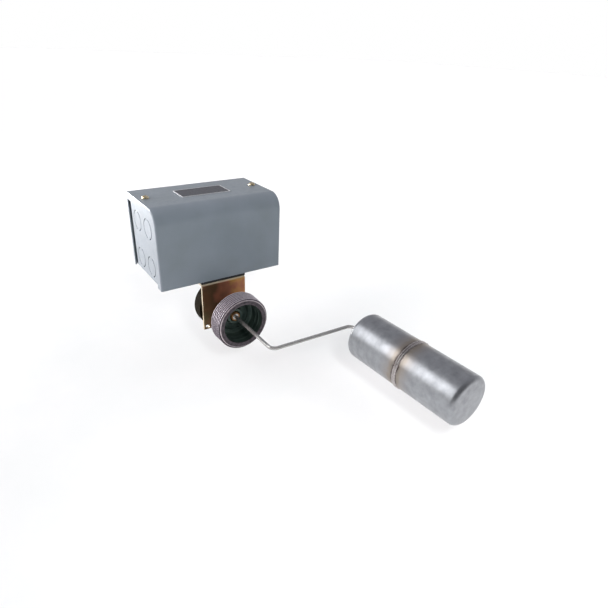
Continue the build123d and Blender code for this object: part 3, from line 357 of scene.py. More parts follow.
@dataclass(frozen=True)
class HeatTintedSteel(Finish):
    """Satin stainless sheet with the heat colours of a weld around the float."""

    weld: Place = (0.12, -0.19, 0.0)
    turn: Place = (0.0, 0.0, 0.0)
    wander_mm: float = 1.8
    heat_mm: Point = (2.0, 28.0)
    fade_mm: Point = (10.0, 26.0)

    def coordinates(self, tree: Tree) -> Source:
        """Coordinates with the float's axis as Y and the weld at the origin."""
        return add(tree, "Mapping", {"Vector": super().coordinates(tree), "Location": self.weld,
                                     "Rotation": self.turn}, vector_type="TEXTURE")

    def colour(self, tree: Tree, place: Source) -> Source:
        """Brown and straw next to the weld, plain steel far from it.

        Args:
            tree: node tree.
            place: coordinates.

        Returns:
            The colour.
        """
        along = add(tree, "SeparateXYZ", (place,)).outputs["Y"]
        away = add(tree, "Math", (along,), operation="ABSOLUTE")
        spots = add(tree, "TexNoise", {"Vector": place, "Scale": cells(9.0), "Detail": 3.0,
                                       "Roughness": 0.55})
        edge = add(tree, "MapRange", (spots, *NOISE_SPAN, -self.wander_mm * MM,
                                      self.wander_mm * MM))
        near = add(tree, "Math", (away, edge), operation="ADD")
        heat, share = (add(tree, "MapRange", (near, start * MM, end * MM, 0.0, 1.0))
                       for start, end in (self.heat_mm, self.fade_mm))
        tint = add(tree, "ValToRGB", (heat,), (
            (0.0, "#4d4644"), (0.05, "#665d58"), (0.09, "#8a837e"), (0.17, "#978e85"),
            (0.34, "#9e9996"), (0.7, "#9c9a9c")))
        return self.mixed(tree, share, tint, super().colour(tree, place))


class Finishes:
    """Every finish on the switch, named for its material and process, or for its painted light.
    """

    # Semi-gloss baked enamel on steel: even colour, slight orange peel, soft highlights, a
    # painted highlight along its corners
    ENAMEL = Finish("grey_baked_enamel", "#6d777e", "#747e87", 0.36, 0.1, patch_mm=40.0,
                    grain_mm=1.6, relief_mm=0.05, coat=0.12, painted_light="#9aa2a8", edge_mm=0.7)
    # Dark phosphated iron casting: matt, purplish grey, fine pits
    CASTING = Finish("phosphated_cast_iron", "#5d5459", "#6f666c", 0.52, 0.16, 0.35,
                     patch_mm=6.0, grain_mm=0.7, relief_mm=0.12)
    # Its cut pipe thread: painted highlight on the crests, painted shade in the roots, painted
    # lighter at the top
    THREAD = CutThread("cut_iron_thread", "#5b5560", "#8f8890", 0.56, 0.16, 0.55,
                       patch_mm=6.0, grain_mm=0.5, relief_mm=0.05, grain=Grain.TURNED)
    # Its faced rim: dark, with rings left by the tool
    RIM = Finish("faced_cast_iron", "#352f34", "#554d53", 0.42, 0.2, 0.45, patch_mm=3.0,
                 grain_mm=0.6, relief_mm=0.12, grain=Grain.TURNED)
    # The corner of its rim, painted pale as a highlight
    RIM_HIGHLIGHT = Finish("iron_rim_painted_highlight", "#948b90", "#bdb4b8", 0.34, 0.14, 0.6, patch_mm=3.0,
                       grain_mm=0.5, relief_mm=0.05)
    # The same iron inside the bore: near black with a green cast, painted shade of the recess,
    # glossier highlights
    BORE = Finish("bore_iron_painted_shade", "#2b3936", "#415049", 0.36, 0.12, 0.5, patch_mm=12.0,
                  grain_mm=0.5, relief_mm=0.03, grain=Grain.TURNED)
    # Bearing bronze, turned: warm brown metal with ring-shaped tool marks
    BRONZE = Finish("turned_bronze", "#7d5a3c", "#a67f58", 0.4, 0.14, 1.0, patch_mm=3.0,
                    grain_mm=0.35, relief_mm=0.02, grain=Grain.TURNED)
    # Moulded nitrile rubber: matt black, faint dust
    RUBBER = Finish("moulded_rubber", "#161617", "#232324", 0.72, 0.12, patch_mm=6.0,
                    grain_mm=0.5, relief_mm=0.04)
    # Bright zinc plate on steel: pale, blotchy crystals
    ZINC = Finish("bright_zinc_plate", "#a9adb2", "#c4c6c8", 0.34, 0.14, 1.0, patch_mm=4.0,
                  grain_mm=0.5, relief_mm=0.02)
    # Plain brass screws: yellow metal, slightly dulled
    BRASS = Finish("plain_brass", "#c9b48a", "#e6dcc0", 0.3, 0.14, 1.0, patch_mm=2.5,
                   grain_mm=0.3, relief_mm=0.015)
    # Black anodised sheet: satin near black, faint handling marks
    ANODISED = Finish("black_anodised_sheet", "#22242c", "#474951", 0.4, 0.14, 0.2,
                      patch_mm=3.2, grain_mm=0.4, relief_mm=0.01)
    # The bare aluminium border of the plate: pale metal
    BARE_ALUMINIUM = Finish("bare_aluminium_border", "#c3c6ca", "#dadcde", 0.35, 0.1, 0.6,
                            patch_mm=4.0, grain_mm=0.3, relief_mm=0.01)
    # Yellow chromate on zinc-plated sheet: iridescent gold, brown and olive, satin, a painted
    # highlight on its edges and bend
    CHROMATE = Chromate("yellow_chromate_zinc", "#9a7a3a", "#8f8a45", 0.36, 0.16, 0.65,
                        patch_mm=18.0, grain_mm=0.6, relief_mm=0.02, grain=Grain.ROLLED,
                        painted_light="#e6d8bc")
    # Olive enamel on the die-cast lever housing, near black: partly its own colour, partly
    # painted shade behind the bracket; matt, hardly any sheen
    SHADED_OLIVE_HOUSING = Finish("olive_housing_painted_shade", "#110e06", "#1a160c", 0.85, 0.14,
                         patch_mm=9.0, grain_mm=1.0, relief_mm=0.06, specular=0.04)
    # Ground stainless bar: bright, marks run along it
    BAR = Finish("ground_stainless_bar", "#a4a4a3", "#b6b6b4", 0.18, 0.08, 0.76, patch_mm=5.0,
                 grain_mm=0.3, relief_mm=0.008)
    # The weld bead itself: ground stainless, grey-purple oxide left in its valley
    BEAD = Finish("welded_stainless", "#a39b9a", "#c5c0bf", 0.3, 0.16, 1.0, patch_mm=2.5,
                  grain_mm=0.7, relief_mm=0.05)
    # Moulded phenolic: dark brown plastic with a low sheen
    PHENOLIC = Finish("moulded_phenolic", "#2b2320", "#3a2f2a", 0.4, 0.1, patch_mm=3.0,
                      grain_mm=0.5, relief_mm=0.02)
    # Oiled spring steel: dark grey metal
    SPRING = Finish("oiled_spring_steel", "#5c5d60", "#77787a", 0.3, 0.1, 1.0, patch_mm=2.0,
                    grain_mm=0.3, relief_mm=0.01)
    # Green dyed zinc on the earthing screw: coloured metal, satin
    GREEN = Finish("green_dyed_zinc", "#2c6a45", "#3c7f56", 0.35, 0.1, 0.7, patch_mm=3.0,
                   grain_mm=0.4, relief_mm=0.01)
    # White studio floor: matt paper
    PAPER = Finish("white_studio_paper", "#cfd3d3", "#d3d6d6", 0.9, 0.04, patch_mm=90.0,
                   grain_mm=20.0, relief_mm=0.0)


# Modelling

def edit(select: str = "SELECT", mode: str = "VERT") -> None:
    """Enters edit mode on the active object.

    Args:
        select: "SELECT" or "DESELECT" for everything in its mesh.
        mode: what the selection is made of: "VERT", "EDGE" or "FACE".
    """
    bpy.ops.object.mode_set(mode="EDIT")
    bpy.ops.mesh.select_mode(type=mode)
    bpy.ops.mesh.select_all(action=select)


def leave_edit() -> None:
    """Goes back to object mode."""
    bpy.ops.object.mode_set(mode="OBJECT")


def close_mesh(gap_mm: float) -> None:
    """Merges near vertices of the mesh in edit mode, turns it outward and leaves edit mode.

    Args:
        gap_mm: vertices nearer than this become one.
    """
    bpy.ops.mesh.select_all(action="SELECT")
    bpy.ops.mesh.remove_doubles(threshold=gap_mm * MM)
    bpy.ops.mesh.normals_make_consistent(inside=False)
    leave_edit()


def select_only(piece: bpy.types.Object) -> None:
    """Makes one object the only selected and the active one.

    Args:
        piece: the object.
    """
    bpy.ops.object.select_all(action="DESELECT")
    piece.select_set(True)
    bpy.context.view_layer.objects.active = piece


def apply_place(piece: bpy.types.Object) -> None:
    """Puts an object's place, turn and scale into its mesh.

    Args:
        piece: the object.
    """
    select_only(piece)
    bpy.ops.object.transform_apply(location=True, rotation=True, scale=True)


def pick(piece: bpy.types.Object, kind: str, wanted: set[int]) -> None:
    """Selects only some edges or faces of the active mesh, and stays in edit mode.

    Args:
        piece: the active object.
        kind: "EDGE" or "FACE".
        wanted: numbers of the edges or faces.
    """
    edit("DESELECT", kind)
    leave_edit()
    for part in piece.data.edges if kind == "EDGE" else piece.data.polygons:
        part.select = part.index in wanted
    bpy.ops.object.mode_set(mode="EDIT")


def named(name: str) -> bpy.types.Object:
    """Names the active object and its mesh.

    Args:
        name: new name.

    Returns:
        The object.
    """
    piece = bpy.context.active_object
    piece.name = name
    piece.data.name = name
    return piece


def settle(piece: bpy.types.Object, smooth_deg: float = 30.0) -> bpy.types.Object:
    """Puts an object's place into its mesh and shades it smooth below an angle.

    Args:
        piece: the object.
        smooth_deg: edges sharper than this stay sharp.

    Returns:
        The same object.
    """
    apply_place(piece)
    bpy.ops.object.shade_smooth_by_angle(angle=math.radians(smooth_deg))
    return piece


def block(name: str, size: Place, middle: Place) -> bpy.types.Object:
    """Adds a rectangular block. Lengths in millimetres.

    Args:
        name: its name.
        size: width, depth and height.
        middle: where its middle is.

    Returns:
        The block.
    """
    bpy.ops.object.select_all(action="DESELECT")
    bpy.ops.mesh.primitive_cube_add(size=MM, location=[along * MM for along in middle])
    piece = named(name)
    piece.scale = size
    apply_place(piece)
    return piece


def profile(points: list[Point], closed: bool) -> None:
    """Draws a profile in X and Y by extruding one vertex. It stays selected in edit mode.

    Args:
        points: (radius, y) of each corner in millimetres.
        closed: whether the last corner joins the first.
    """
    bpy.ops.object.select_all(action="DESELECT")
    bpy.ops.mesh.primitive_plane_add(size=MM)
    edit()
    bpy.ops.mesh.merge(type="CENTER")
    bpy.ops.transform.translate(value=(points[0][0] * MM, points[0][1] * MM, 0))
    for last, point in zip(points, points[1:] + (points[:1] if closed else [])):
        step = ((point[0] - last[0]) * MM, (point[1] - last[1]) * MM, 0)
        bpy.ops.mesh.extrude_region_move(TRANSFORM_OT_translate={"value": step})
    bpy.ops.mesh.select_all(action="SELECT")
    bpy.ops.mesh.remove_doubles(threshold=0.002 * MM)


def turned(name: str, points: list[Point], steps: int = 96, closed: bool = True,
           smooth_deg: float = 30.0) -> bpy.types.Object:
    """Turns a profile about the Y axis into a closed skin.

    Args:
        name: piece name.
        points: (radius, y) corners in millimetres.
        steps: faces around.
        closed: whether the profile is a loop clear of the axis.
        smooth_deg: edges sharper than this stay sharp.

    Returns:
        The new piece.
    """
    profile(points, closed)
    bpy.ops.mesh.spin(steps=steps, angle=2 * math.pi, center=(0, 0, 0), axis=(0, 1, 0))
    close_mesh(0.004)
    return settle(named(name), smooth_deg)


def apply_modifier(piece: bpy.types.Object, kind: str, **settings: object) -> None:
    """Adds a modifier to a piece and applies it.

    Args:
        piece: object that gets it.
        kind: modifier type.
        settings: the modifier's properties.
    """
    select_only(piece)
    modifier = piece.modifiers.new(kind.lower(), kind)
    for name, value in settings.items():
        setattr(modifier, name, value)
    bpy.ops.object.modifier_apply(modifier=modifier.name)


def place_at(piece: bpy.types.Object, matrix: Matrix) -> bpy.types.Object:
    """Moves a piece's mesh by a matrix, in place.

    Args:
        piece: the piece, at the origin.
        matrix: where it goes.

    Returns:
        The same piece.
    """
    piece.matrix_world = matrix
    apply_place(piece)
    return piece


def softened_copy(node: str, name: str, width_mm: float,
                  smooth_deg: float = 35.0) -> bpy.types.Object:
    """Copies a CAD node, merges its loose triangles, and rounds its sharp edges.

    Args:
        node: CAD node.
        name: name of the new piece.
        width_mm: width of the rounding.
        smooth_deg: edges sharper than this are rounded.

    Returns:
        The new piece.
    """
    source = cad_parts[node]
    piece = bpy.data.objects.new(name, source.data.copy())
    piece.data.name = name
    piece.data.materials.clear()
    bpy.context.scene.collection.objects.link(piece)
    select_only(piece)
    edit()
    bpy.ops.mesh.remove_doubles(threshold=0.003 * MM)
    bpy.ops.mesh.dissolve_limited(angle_limit=math.radians(0.5))
    leave_edit()
    apply_modifier(piece, "BEVEL", width=width_mm * MM, segments=2, limit_method="ANGLE",
                   angle_limit=math.radians(smooth_deg), use_clamp_overlap=True,
                   harden_normals=False)
    bpy.ops.object.shade_smooth_by_angle(angle=math.radians(smooth_deg))
    apply_modifier(piece, "WEIGHTED_NORMAL", mode="FACE_AREA", keep_sharp=True)
    return piece


@dataclass
class SubAssembly:
    """Part of the switch that is built and dressed together."""

    body: Body = Body.SWITCH
    made: list[bpy.types.Object] = field(default_factory=list)

    def dress(self, finish: Finish, *nodes: str) -> None:
        """Gives carried-over CAD nodes their material.

        Args:
            finish: their finish.
            nodes: CAD nodes.
        """
        for node in nodes:
            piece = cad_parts[node]
            piece.data.materials.clear()
            piece.data.materials.append(finish.build())
            LOG.info("CAD node %s: %s", node, finish.name)

    def claim(self, piece: bpy.types.Object, finish: Finish, slot: str, node: str) -> None:
        """Gives a new piece its material, hides the CAD node it replaces, and says what it
        stands for.

        Args:
            piece: the new piece.
            finish: its finish, unless it has its materials already.
            slot: slot of the record; not used.
            node: CAD node that it replaces.
        """
        if not piece.data.materials:
            piece.data.materials.append(finish.build())
        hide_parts(node)
        self.made.append(piece)
        LOG.info("piece %s for %s: %d faces", piece.name, node, len(piece.data.polygons))

    def carry(self, piece: bpy.types.Object, finish: Finish, slot: str, node: str) -> None:
        """Claims a new piece, which moves with the body of its sub-assembly."""
        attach(piece, self.body.value)
        self.claim(piece, finish, slot, node)


# Tank connection

@dataclass
class TankConnection(SubAssembly):
    """Threaded casting with its bushes, seal and lock nut. Sizes in millimetres."""

    thread_r: float = 36.5
    pitch: float = 3.175
    depth: float = 1.9
    merge: float = 0.12
    taper: float = 1 / 32
    rim_y: float = -17.3
    back_y: float = 5.1
    bore_r: float = 27.3
    web_y: float = 8.2
    cone_y: float = 31.2
    plate_y: float = 37.2
    end_y: float = 47.2
    seat_r: float = 7.52
    rim_depth: float = 1.05
    corner_r: float = 32.6
    neck_r: float = 32.5
    bore_shade_y: float = 13.0
    margin: float = 0.05
    flank: Place = (0.1, 0.47, 0.63)    # shares of the pitch: root's end, crest's two ends
    thread_inset: Point = (1.4, 0.7)    # from rim and back to the thread's ends
    blank_inset: Point = (1.0, 0.3)     # and to the ends of the casting without thread
    steps: int = 120

    def radius(self, y: float) -> float:
        """Crest radius of the tapered thread at one place along the axis."""
        return self.thread_r - (self.back_y - y) * self.taper

    def helix(self) -> bpy.types.Object:
        """Winds the thread's zigzag profile up its helix and trims both ends.

        Returns:
            The thread's skin, open at both ends.
        """
        first, last = self.rim_y + self.thread_inset[0], self.back_y - self.thread_inset[1]
        start = first - 2 * self.pitch
        points = []
        for turn in range(math.ceil((last - start) / self.pitch) + 2):
            y = start + turn * self.pitch
            crest = self.radius(y)
            root = crest - self.depth
            points += [(root, y)] + [(reach, y + share * self.pitch) for reach, share
                                     in zip((root, crest, crest), self.flank)]
        profile(points, False)
        leave_edit()
        piece = named("thread_skin")
        apply_modifier(piece, "SCREW", axis="Y", angle=2 * math.pi,
                       screw_offset=self.pitch * MM, steps=self.steps,
                       render_steps=self.steps, use_merge_vertices=False)
        edit()
        bpy.ops.mesh.remove_doubles(threshold=self.merge * MM)
        for y, low in ((first, True), (last, False)):
            bpy.ops.mesh.select_all(action="SELECT")
            bpy.ops.mesh.bisect(plane_co=(0, y * MM, 0), plane_no=(0, 1, 0),
                                clear_inner=low, clear_outer=not low, threshold=0.001 * MM)
        leave_edit()
        return piece

    def blank(self) -> bpy.types.Object:
        """Turns the rest of the casting, open where the thread goes.

        Returns:
            The casting's skin, with an open loop at each end of the thread.
        """
        low, high = self.rim_y + self.blank_inset[0], self.back_y - self.blank_inset[1]
        rim_r, back_r = self.radius(low) - self.depth, self.radius(high) - self.depth
        outline = [
            (rim_r, low), (rim_r - 0.7, self.rim_y + 0.25), (rim_r - 1.1, self.rim_y),
            (31.0, self.rim_y), (30.8, self.rim_y + 0.4), (30.3, self.rim_y + 0.4),
            (30.1, self.rim_y + 0.1), (self.bore_r + 1.2, self.rim_y + 0.1),
            (self.bore_r + 0.3, self.rim_y + 0.4),
            (self.bore_r, self.rim_y + 1.2), (self.bore_r, -9.0), (self.bore_r - 0.5, -8.5),
            (self.bore_r - 0.5, -2.2), (self.bore_r - 1.0, -1.7),
            (self.bore_r - 1.0, self.web_y - 1.6), (self.bore_r - 1.5, self.web_y - 0.5),
            (self.bore_r - 2.7, self.web_y), (20.6, self.web_y), (20.0, self.web_y + 0.6),
            (20.0, self.web_y + 3.2), (19.2, self.web_y + 4.0), (12.0, self.web_y + 4.0),
            (11.2, self.web_y + 3.4), (11.0, self.web_y + 2.6), (11.0, 7.5), (10.5, 7.1),
            (self.seat_r + 0.3, 7.1), (self.seat_r, 7.4), (self.seat_r, 23.08),
            (6.0, 23.08), (6.0, 33.9), (6.52, 33.9), (6.52, self.end_y), (9.1, self.end_y),
            (9.5, self.end_y - 0.4), (9.5, self.plate_y), (11.0, self.plate_y),
            (11.0, self.cone_y + 1.0), (11.6, self.cone_y - 1.2), (32.4, self.web_y + 0.8),
            (33.0, self.web_y - 0.4), (33.0, self.back_y + 0.4), (33.5, self.back_y),
            (back_r - 0.4, self.back_y), (back_r, high),
        ]
        return turned("casting_skin", outline, self.steps, closed=False)

    def casting(self) -> bpy.types.Object:
        """Joins thread and casting, and gives each zone its finish.

        Returns:
            The threaded body.
        """
        thread, body = self.helix(), self.blank()
        select_only(body)
        thread.select_set(True)
        bpy.ops.object.join()
        piece = named("threaded_body")
        front, back = (sum(pair) / 2 for pair in zip(self.thread_inset, self.blank_inset))
        for y in (self.rim_y + front, self.back_y - back):
            pick(piece, "EDGE", self.open_edges(piece, y))
            bpy.ops.mesh.bridge_edge_loops()
            leave_edit()
        edit()
        close_mesh(0.01)
        settle(piece, 40.0)
        finishes = (Finishes.CASTING, Finishes.BORE, Finishes.THREAD, Finishes.RIM_HIGHLIGHT,
                    Finishes.RIM)
        for finish in finishes:
            piece.data.materials.append(finish.build())
        for face in piece.data.polygons:
            reach = math.hypot(face.center.x, face.center.z) / MM
            face.material_index = finishes.index(self.zone(reach, face.center.y / MM))
        return piece

    def zone(self, reach: float, y: float) -> Finish:
        """Finish that a face of the threaded body wears.

        Args:
            reach: the face's distance from the axis.
            y: its place along the axis.

        Returns:
            The finish of the rim's corner or face, of the bore, of the thread or of the
            raw casting.
        """
        if y < self.rim_y + self.rim_depth:
            # the rim's outer corner gets a painted highlight
            return Finishes.RIM_HIGHLIGHT if reach > self.corner_r else Finishes.RIM
        # inside the bore the iron is painted near black as shade
        if reach < self.bore_r + self.margin and y < self.bore_shade_y:
            return Finishes.BORE
        if reach > self.neck_r and y < self.back_y:
            return Finishes.THREAD
        return Finishes.CASTING

    def open_edges(self, piece: bpy.types.Object, y: float, near: float = 0.3) -> set[int]:
        """Finds the open edges near one plane across the axis.

        Args:
            piece: the mesh.
            y: the plane's place.
            near: largest distance from the plane.

        Returns:
            The edges' numbers.
        """
        uses = Counter(key for face in piece.data.polygons for key in face.edge_keys)
        vertices = piece.data.vertices
        return {edge.index for edge in piece.data.edges if uses[edge.key] == 1
                and all(abs(vertices[end].co.y / MM - y) < near for end in edge.vertices)}

    def build(self) -> None:
        """Builds and dresses the tank connection."""
        self.carry(self.casting(), Finishes.CASTING, "cast_iron", "tank_casting")
        self.dress(Finishes.BRONZE, "gland_bush", "rear_bush")
        self.dress(Finishes.RUBBER, "shaft_seal")
        self.dress(Finishes.ZINC, "lock_nut")


# Switch box

@dataclass
class SwitchBox(SubAssembly):
    """Cover, base, nameplate and the screws of the box. Sizes in millimetres."""

    top_z: float = 146.6
    plate_size: Place = (67.2, 33.0, 0.6)
    plate_y: float = 92.9
    corner_r: float = 1.2
    border: float = 1.1
    border_height: float = 0.12
    screw_x: float = 74.85
    screw_y: float = 93.1
    screw_turns: Point = (24.0, -52.0)
    shank_r: float = 2.4
    shank_length: float = 9.5
    head_r: float = 4.5
    head_height: float = 3.37
    slot: Place = (12.0, 2.4, 1.2)

    def nameplate(self) -> bpy.types.Object:
        """Blank plate with rounded corners and a bare raised border.

        Returns:
            The plate.
        """
        thickness = self.plate_size[2]
        piece = block("blank_nameplate", self.plate_size,
                      (0.0, self.plate_y, self.top_z + thickness / 2))
        heights = [vertex.co.z for vertex in piece.data.vertices]
        pick(piece, "EDGE", {edge.index for edge in piece.data.edges
                             if abs(heights[edge.vertices[0]] - heights[edge.vertices[1]])
                             > thickness / 2 * MM})
        bpy.ops.mesh.bevel(offset=self.corner_r * MM, segments=4)
        leave_edit()
        top = max(piece.data.polygons, key=lambda face: (face.center.z, face.area))
        pick(piece, "FACE", {top.index})
        bpy.ops.mesh.inset(thickness=self.border * MM)
        sink = (0, 0, -self.border_height * MM)
        bpy.ops.mesh.extrude_region_move(TRANSFORM_OT_translate={"value": sink})
        leave_edit()
        piece.data.materials.append(Finishes.BARE_ALUMINIUM.build())
        piece.data.materials.append(Finishes.ANODISED.build())
        middle_z = self.top_z + thickness - self.border_height
        for face in piece.data.polygons:
            sunk = abs(face.center.z / MM - middle_z) < self.border_height / 10
            face.material_index = 1 if sunk and face.normal.z > 0.9 else 0
        return settle(piece)

    def cover_screw(self) -> bpy.types.Object:
        """Turns and slots one round-headed screw, its head standing on z = 0.

        Returns:
            The screw.
        """
        arc = [(self.head_r * math.cos(t), self.head_height * math.sin(t) ** 0.9)
               for t in (math.radians(degrees) for degrees in range(8, 85, 8))]
        outline = [(0.0, -self.shank_length), (self.shank_r, -self.shank_length),
                   (self.shank_r, -0.2), (self.shank_r, 0.0), (self.head_r - 0.2, 0.0), *arc,
                   (0.0, self.head_height + 0.02)]
        screw = turned("cover_screw_left", outline, 40, closed=False)
        cutter = block("slot_cutter", self.slot, (0.0, 3.3, 0.0))
        apply_modifier(screw, "BOOLEAN", operation="DIFFERENCE", object=cutter, solver="EXACT")
        bpy.data.objects.remove(cutter)
        return place_at(screw, Matrix.Rotation(math.radians(90), 4, "X"))

    def screws(self) -> None:
        """Makes one cover screw, and its copy turned a little differently."""
        left = self.cover_screw()
        select_only(left)
        bpy.ops.object.duplicate()
        right = named("cover_screw_right")
        for piece, side, turn in zip((left, right), (-1, 1), self.screw_turns):
            place = Vector((side * self.screw_x, self.screw_y, self.top_z)) * MM
            place_at(piece, Matrix.Translation(place)
                     @ Matrix.Rotation(math.radians(turn), 4, "Z"))
            settle(piece, 35.0)
            self.carry(piece, Finishes.BRASS, "brass", "cover_screws")

    def build(self) -> None:
        """Builds and dresses the switch box."""
        self.dress(Finishes.ENAMEL, "cover")
        self.carry(softened_copy("base_pan", "base_sheet", 0.25), Finishes.ENAMEL,
                   "grey_enamel", "base_pan")
        self.carry(self.nameplate(), Finishes.ANODISED, "black_anodised", "nameplate")
        self.screws()
        self.dress(Finishes.GREEN, "ground_screw")


# Bracket

@dataclass
class BracketGroup(SubAssembly):
    """Bent bracket, gasket, lever housing and their fasteners."""

    def build(self) -> None:
        """Builds and dresses the bracket and what it carries."""
        self.carry(softened_copy("bracket", "bent_bracket", 0.35), Finishes.CHROMATE,
                   "yellow_chromate", "bracket")
        # the housing's near-black colour is partly painted shade
        self.carry(softened_copy("rear_housing", "lever_housing", 0.4), Finishes.SHADED_OLIVE_HOUSING,
                   "black_cast_zinc", "rear_housing")
        self.dress(Finishes.RUBBER, "bracket_gasket")
        self.dress(Finishes.ZINC, "bracket_bolts", "bracket_nuts", "housing_screws")


# Float arm

@dataclass
class FloatArm(SubAssembly):
    """Float, rod, shaft and lever: everything that the liquid moves. Sizes in millimetres."""

    body: Body = Body.ARM
    droop_deg: float = 2.1
    splay_deg: float = 1.9
    bend: Place = (123.3, -85.8, 0.0)
    leg: float = 25.0
    float_r: float = 30.8
    float_length: float = 164.5
    weld_width: float = 5.4
    weld_root: float = 0.5
    ridge: float = 1.15
    wave: float = 2.6
    wave_height: float = 0.2

    def float_frame(self) -> Matrix:
        """Place of the weld's middle, with the float's axis as Y."""
        middle = self.leg + self.float_length / 2
        return (Matrix.Rotation(math.radians(self.droop_deg), 4, "Y")
                @ Matrix.Translation(Vector(self.bend) * MM)
                @ Matrix.Rotation(math.radians(self.splay_deg), 4, "Z")
                @ Matrix.Translation((0, -middle * MM, 0)))

    def weld(self) -> bpy.types.Object:
        """Bead of two uneven ridges around the float.

        Returns:
            The bead.
        """
        inner, half = self.float_r + 0.01, self.weld_width / 2
        ridges = [(inner + self.ridge * abs(math.sin(2 * math.pi * t)) ** 0.8,
                   -half + 2 * half * t) for t in (step / 20 for step in range(21))]
        points = [(inner - self.weld_root, -half), *ridges, (inner - self.weld_root, half)]
        bead = turned("weld_bead", points, 180, smooth_deg=50.0)
        waves = bpy.data.textures.new("bead_waves", "CLOUDS")
        waves.noise_scale = self.wave * MM
        apply_modifier(bead, "DISPLACE", texture=waves, strength=self.wave_height * MM,
                       mid_level=0.62, texture_coords="LOCAL", direction="NORMAL")
        return place_at(bead, self.float_frame())

    def build(self) -> None:
        """Builds and dresses the float arm."""
        place = self.float_frame()
        tinted = HeatTintedSteel("satin_stainless_sheet", "#939599", "#a9abaf", 0.37, 0.14, 1.0,
                                 patch_mm=8.0, grain_mm=1.4, relief_mm=0.03,
                                 grain=Grain.TURNED, weld=tuple(place.to_translation()),
                                 turn=tuple(place.to_euler()))
        self.dress(tinted, "float_rear_cup", "float_front_cup")
        self.carry(self.weld(), Finishes.BEAD, "stainless_steel", "float_weld")
        self.dress(Finishes.BAR, "float_rod", "float_ferrule", "operating_shaft", "drive_pin")
        self.dress(Finishes.ZINC, "operating_lever")
        self.dress(Finishes.SPRING, "lever_set_screw")


# Contacts

@dataclass
class ContactMechanism(SubAssembly):
    """Frame, rocker, contacts and terminals inside the box. Sizes in millimetres."""

    coil_r: float = 2.6
    wire_r: float = 0.4
    turns: int = 4
    foot: Place = (-3.768, 54.2, 110.498)
    head: Place = (0.0, 54.2, 125.5)
    end_gap: float = 1.19
    steps: int = 40

    def spring(self) -> bpy.types.Object:
        """Winds the round wire of the snap spring from the carrier up to the block.

        Returns:
            The spring.
        """
        axis = (Vector(self.head) - Vector(self.foot)) * MM
        length = axis.length - 2 * self.end_gap * MM
        bpy.ops.object.select_all(action="DESELECT")
        bpy.ops.mesh.primitive_circle_add(vertices=12, radius=self.wire_r * MM,
                                          location=(self.coil_r * MM, 0, 0),
                                          rotation=(math.pi / 2, 0, 0))
        piece = named("snap_spring")
        apply_place(piece)
        apply_modifier(piece, "SCREW", axis="Z", angle=2 * math.pi,
                       screw_offset=length / self.turns, iterations=self.turns,
                       steps=self.steps, render_steps=self.steps, use_merge_vertices=False)
        edit()
        bpy.ops.mesh.remove_doubles(threshold=0.002 * MM)
        bpy.ops.mesh.fill_holes(sides=0)
        close_mesh(0.002)
        start = Vector(self.foot) * MM + self.end_gap * MM * axis.normalized()
        lean = axis.to_track_quat("Z", "Y").to_matrix().to_4x4()
        place_at(piece, Matrix.Translation(start) @ lean)
        return settle(piece, 50.0)

    def hold_spring(self) -> None:
        """Fits the spring from the carrier up to the block, fixed in place."""
        piece = self.spring()
        self.claim(piece, Finishes.SPRING, "spring_steel", "toggle_spring")
        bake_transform(piece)

    def build(self) -> None:
        """Dresses the mechanism and fits its spring."""
        self.dress(Finishes.ZINC, "mechanism_frame", "stop_screws", "rocker")
        self.dress(Finishes.BAR, "pivot_pin")
        self.dress(Finishes.PHENOLIC, "contact_block", "contact_carrier")
        self.dress(Finishes.BRASS, "contact_block_screws", "fixed_contacts",
                   "terminal_screws", "carrier_rivets", "moving_contacts")
        self.hold_spring()


# Studio

def hung(data: bpy.types.Light, aim: Vector) -> bpy.types.Object:
    """Puts a light in the room, at the origin, so that it shines along a direction.

    Args:
        data: the light.
        aim: the direction.

    Returns:
        The lamp that holds it.
    """
    lamp = bpy.data.objects.new(data.name, data)
    lamp.rotation_mode = "QUATERNION"
    lamp.rotation_quaternion = aim.to_track_quat("-Z", "Y")
    bpy.context.scene.collection.objects.link(lamp)
    return lamp


@dataclass(frozen=True)
class Card:
    """Square soft lamp that faces a point, in metres and watts."""

    name: str
    place: Place
    size: float
    power: float
    target: Place
    glossy: bool = True

    def build(self) -> None:
        """Hangs the lamp, unseen by the camera."""
        data = bpy.data.lights.new(self.name, "AREA")
        data.shape = "SQUARE"
        data.size = self.size
        data.energy = self.power
        lamp = hung(data, Vector(self.target) - Vector(self.place))
        lamp.location = self.place
        lamp.visible_camera = False
        lamp.visible_glossy = self.glossy


@dataclass(frozen=True)
class Window:
    """Even light from one side of the room: its spread softens the shadows."""

    name: str
    source: Place
    spread_deg: float
    strength: float
    colour: str = "#ffffff"

    def build(self) -> None:
        """Hangs the light, which polished surfaces don't mirror."""
        data = bpy.data.lights.new(self.name, "SUN")
        data.angle = math.radians(self.spread_deg)
        data.energy = self.strength
        data.color = linear(self.colour)[:3]
        hung(data, -Vector(self.source)).visible_glossy = False


LIGHTS = (
    Window("left_window", (-1.0, 0.1, 0.2), 40.0, 3.5, "#ffe7e7"),
    Window("upper_right_window", (0.5, 0.35, 1.0), 90.0, 0.15),
    Card("rear_left_card", (-0.825, 0.46, 0.715), 0.9, 7.6, (0.12, -0.2, 0.0)),
    Card("low_rear_card", (-0.6, 1.45, 0.12), 0.5, 36.0, (-0.086, 0.08, 0.09)),
    Card("camera_fill", (-0.15, -0.54, 0.41), 0.09, 1.85, (0.0, 0.1, -0.02), False),
    Card("front_right_card", (0.33, -0.3, 0.28), 0.25, 0.28, (0.06, 0.04, 0.1), False),
)


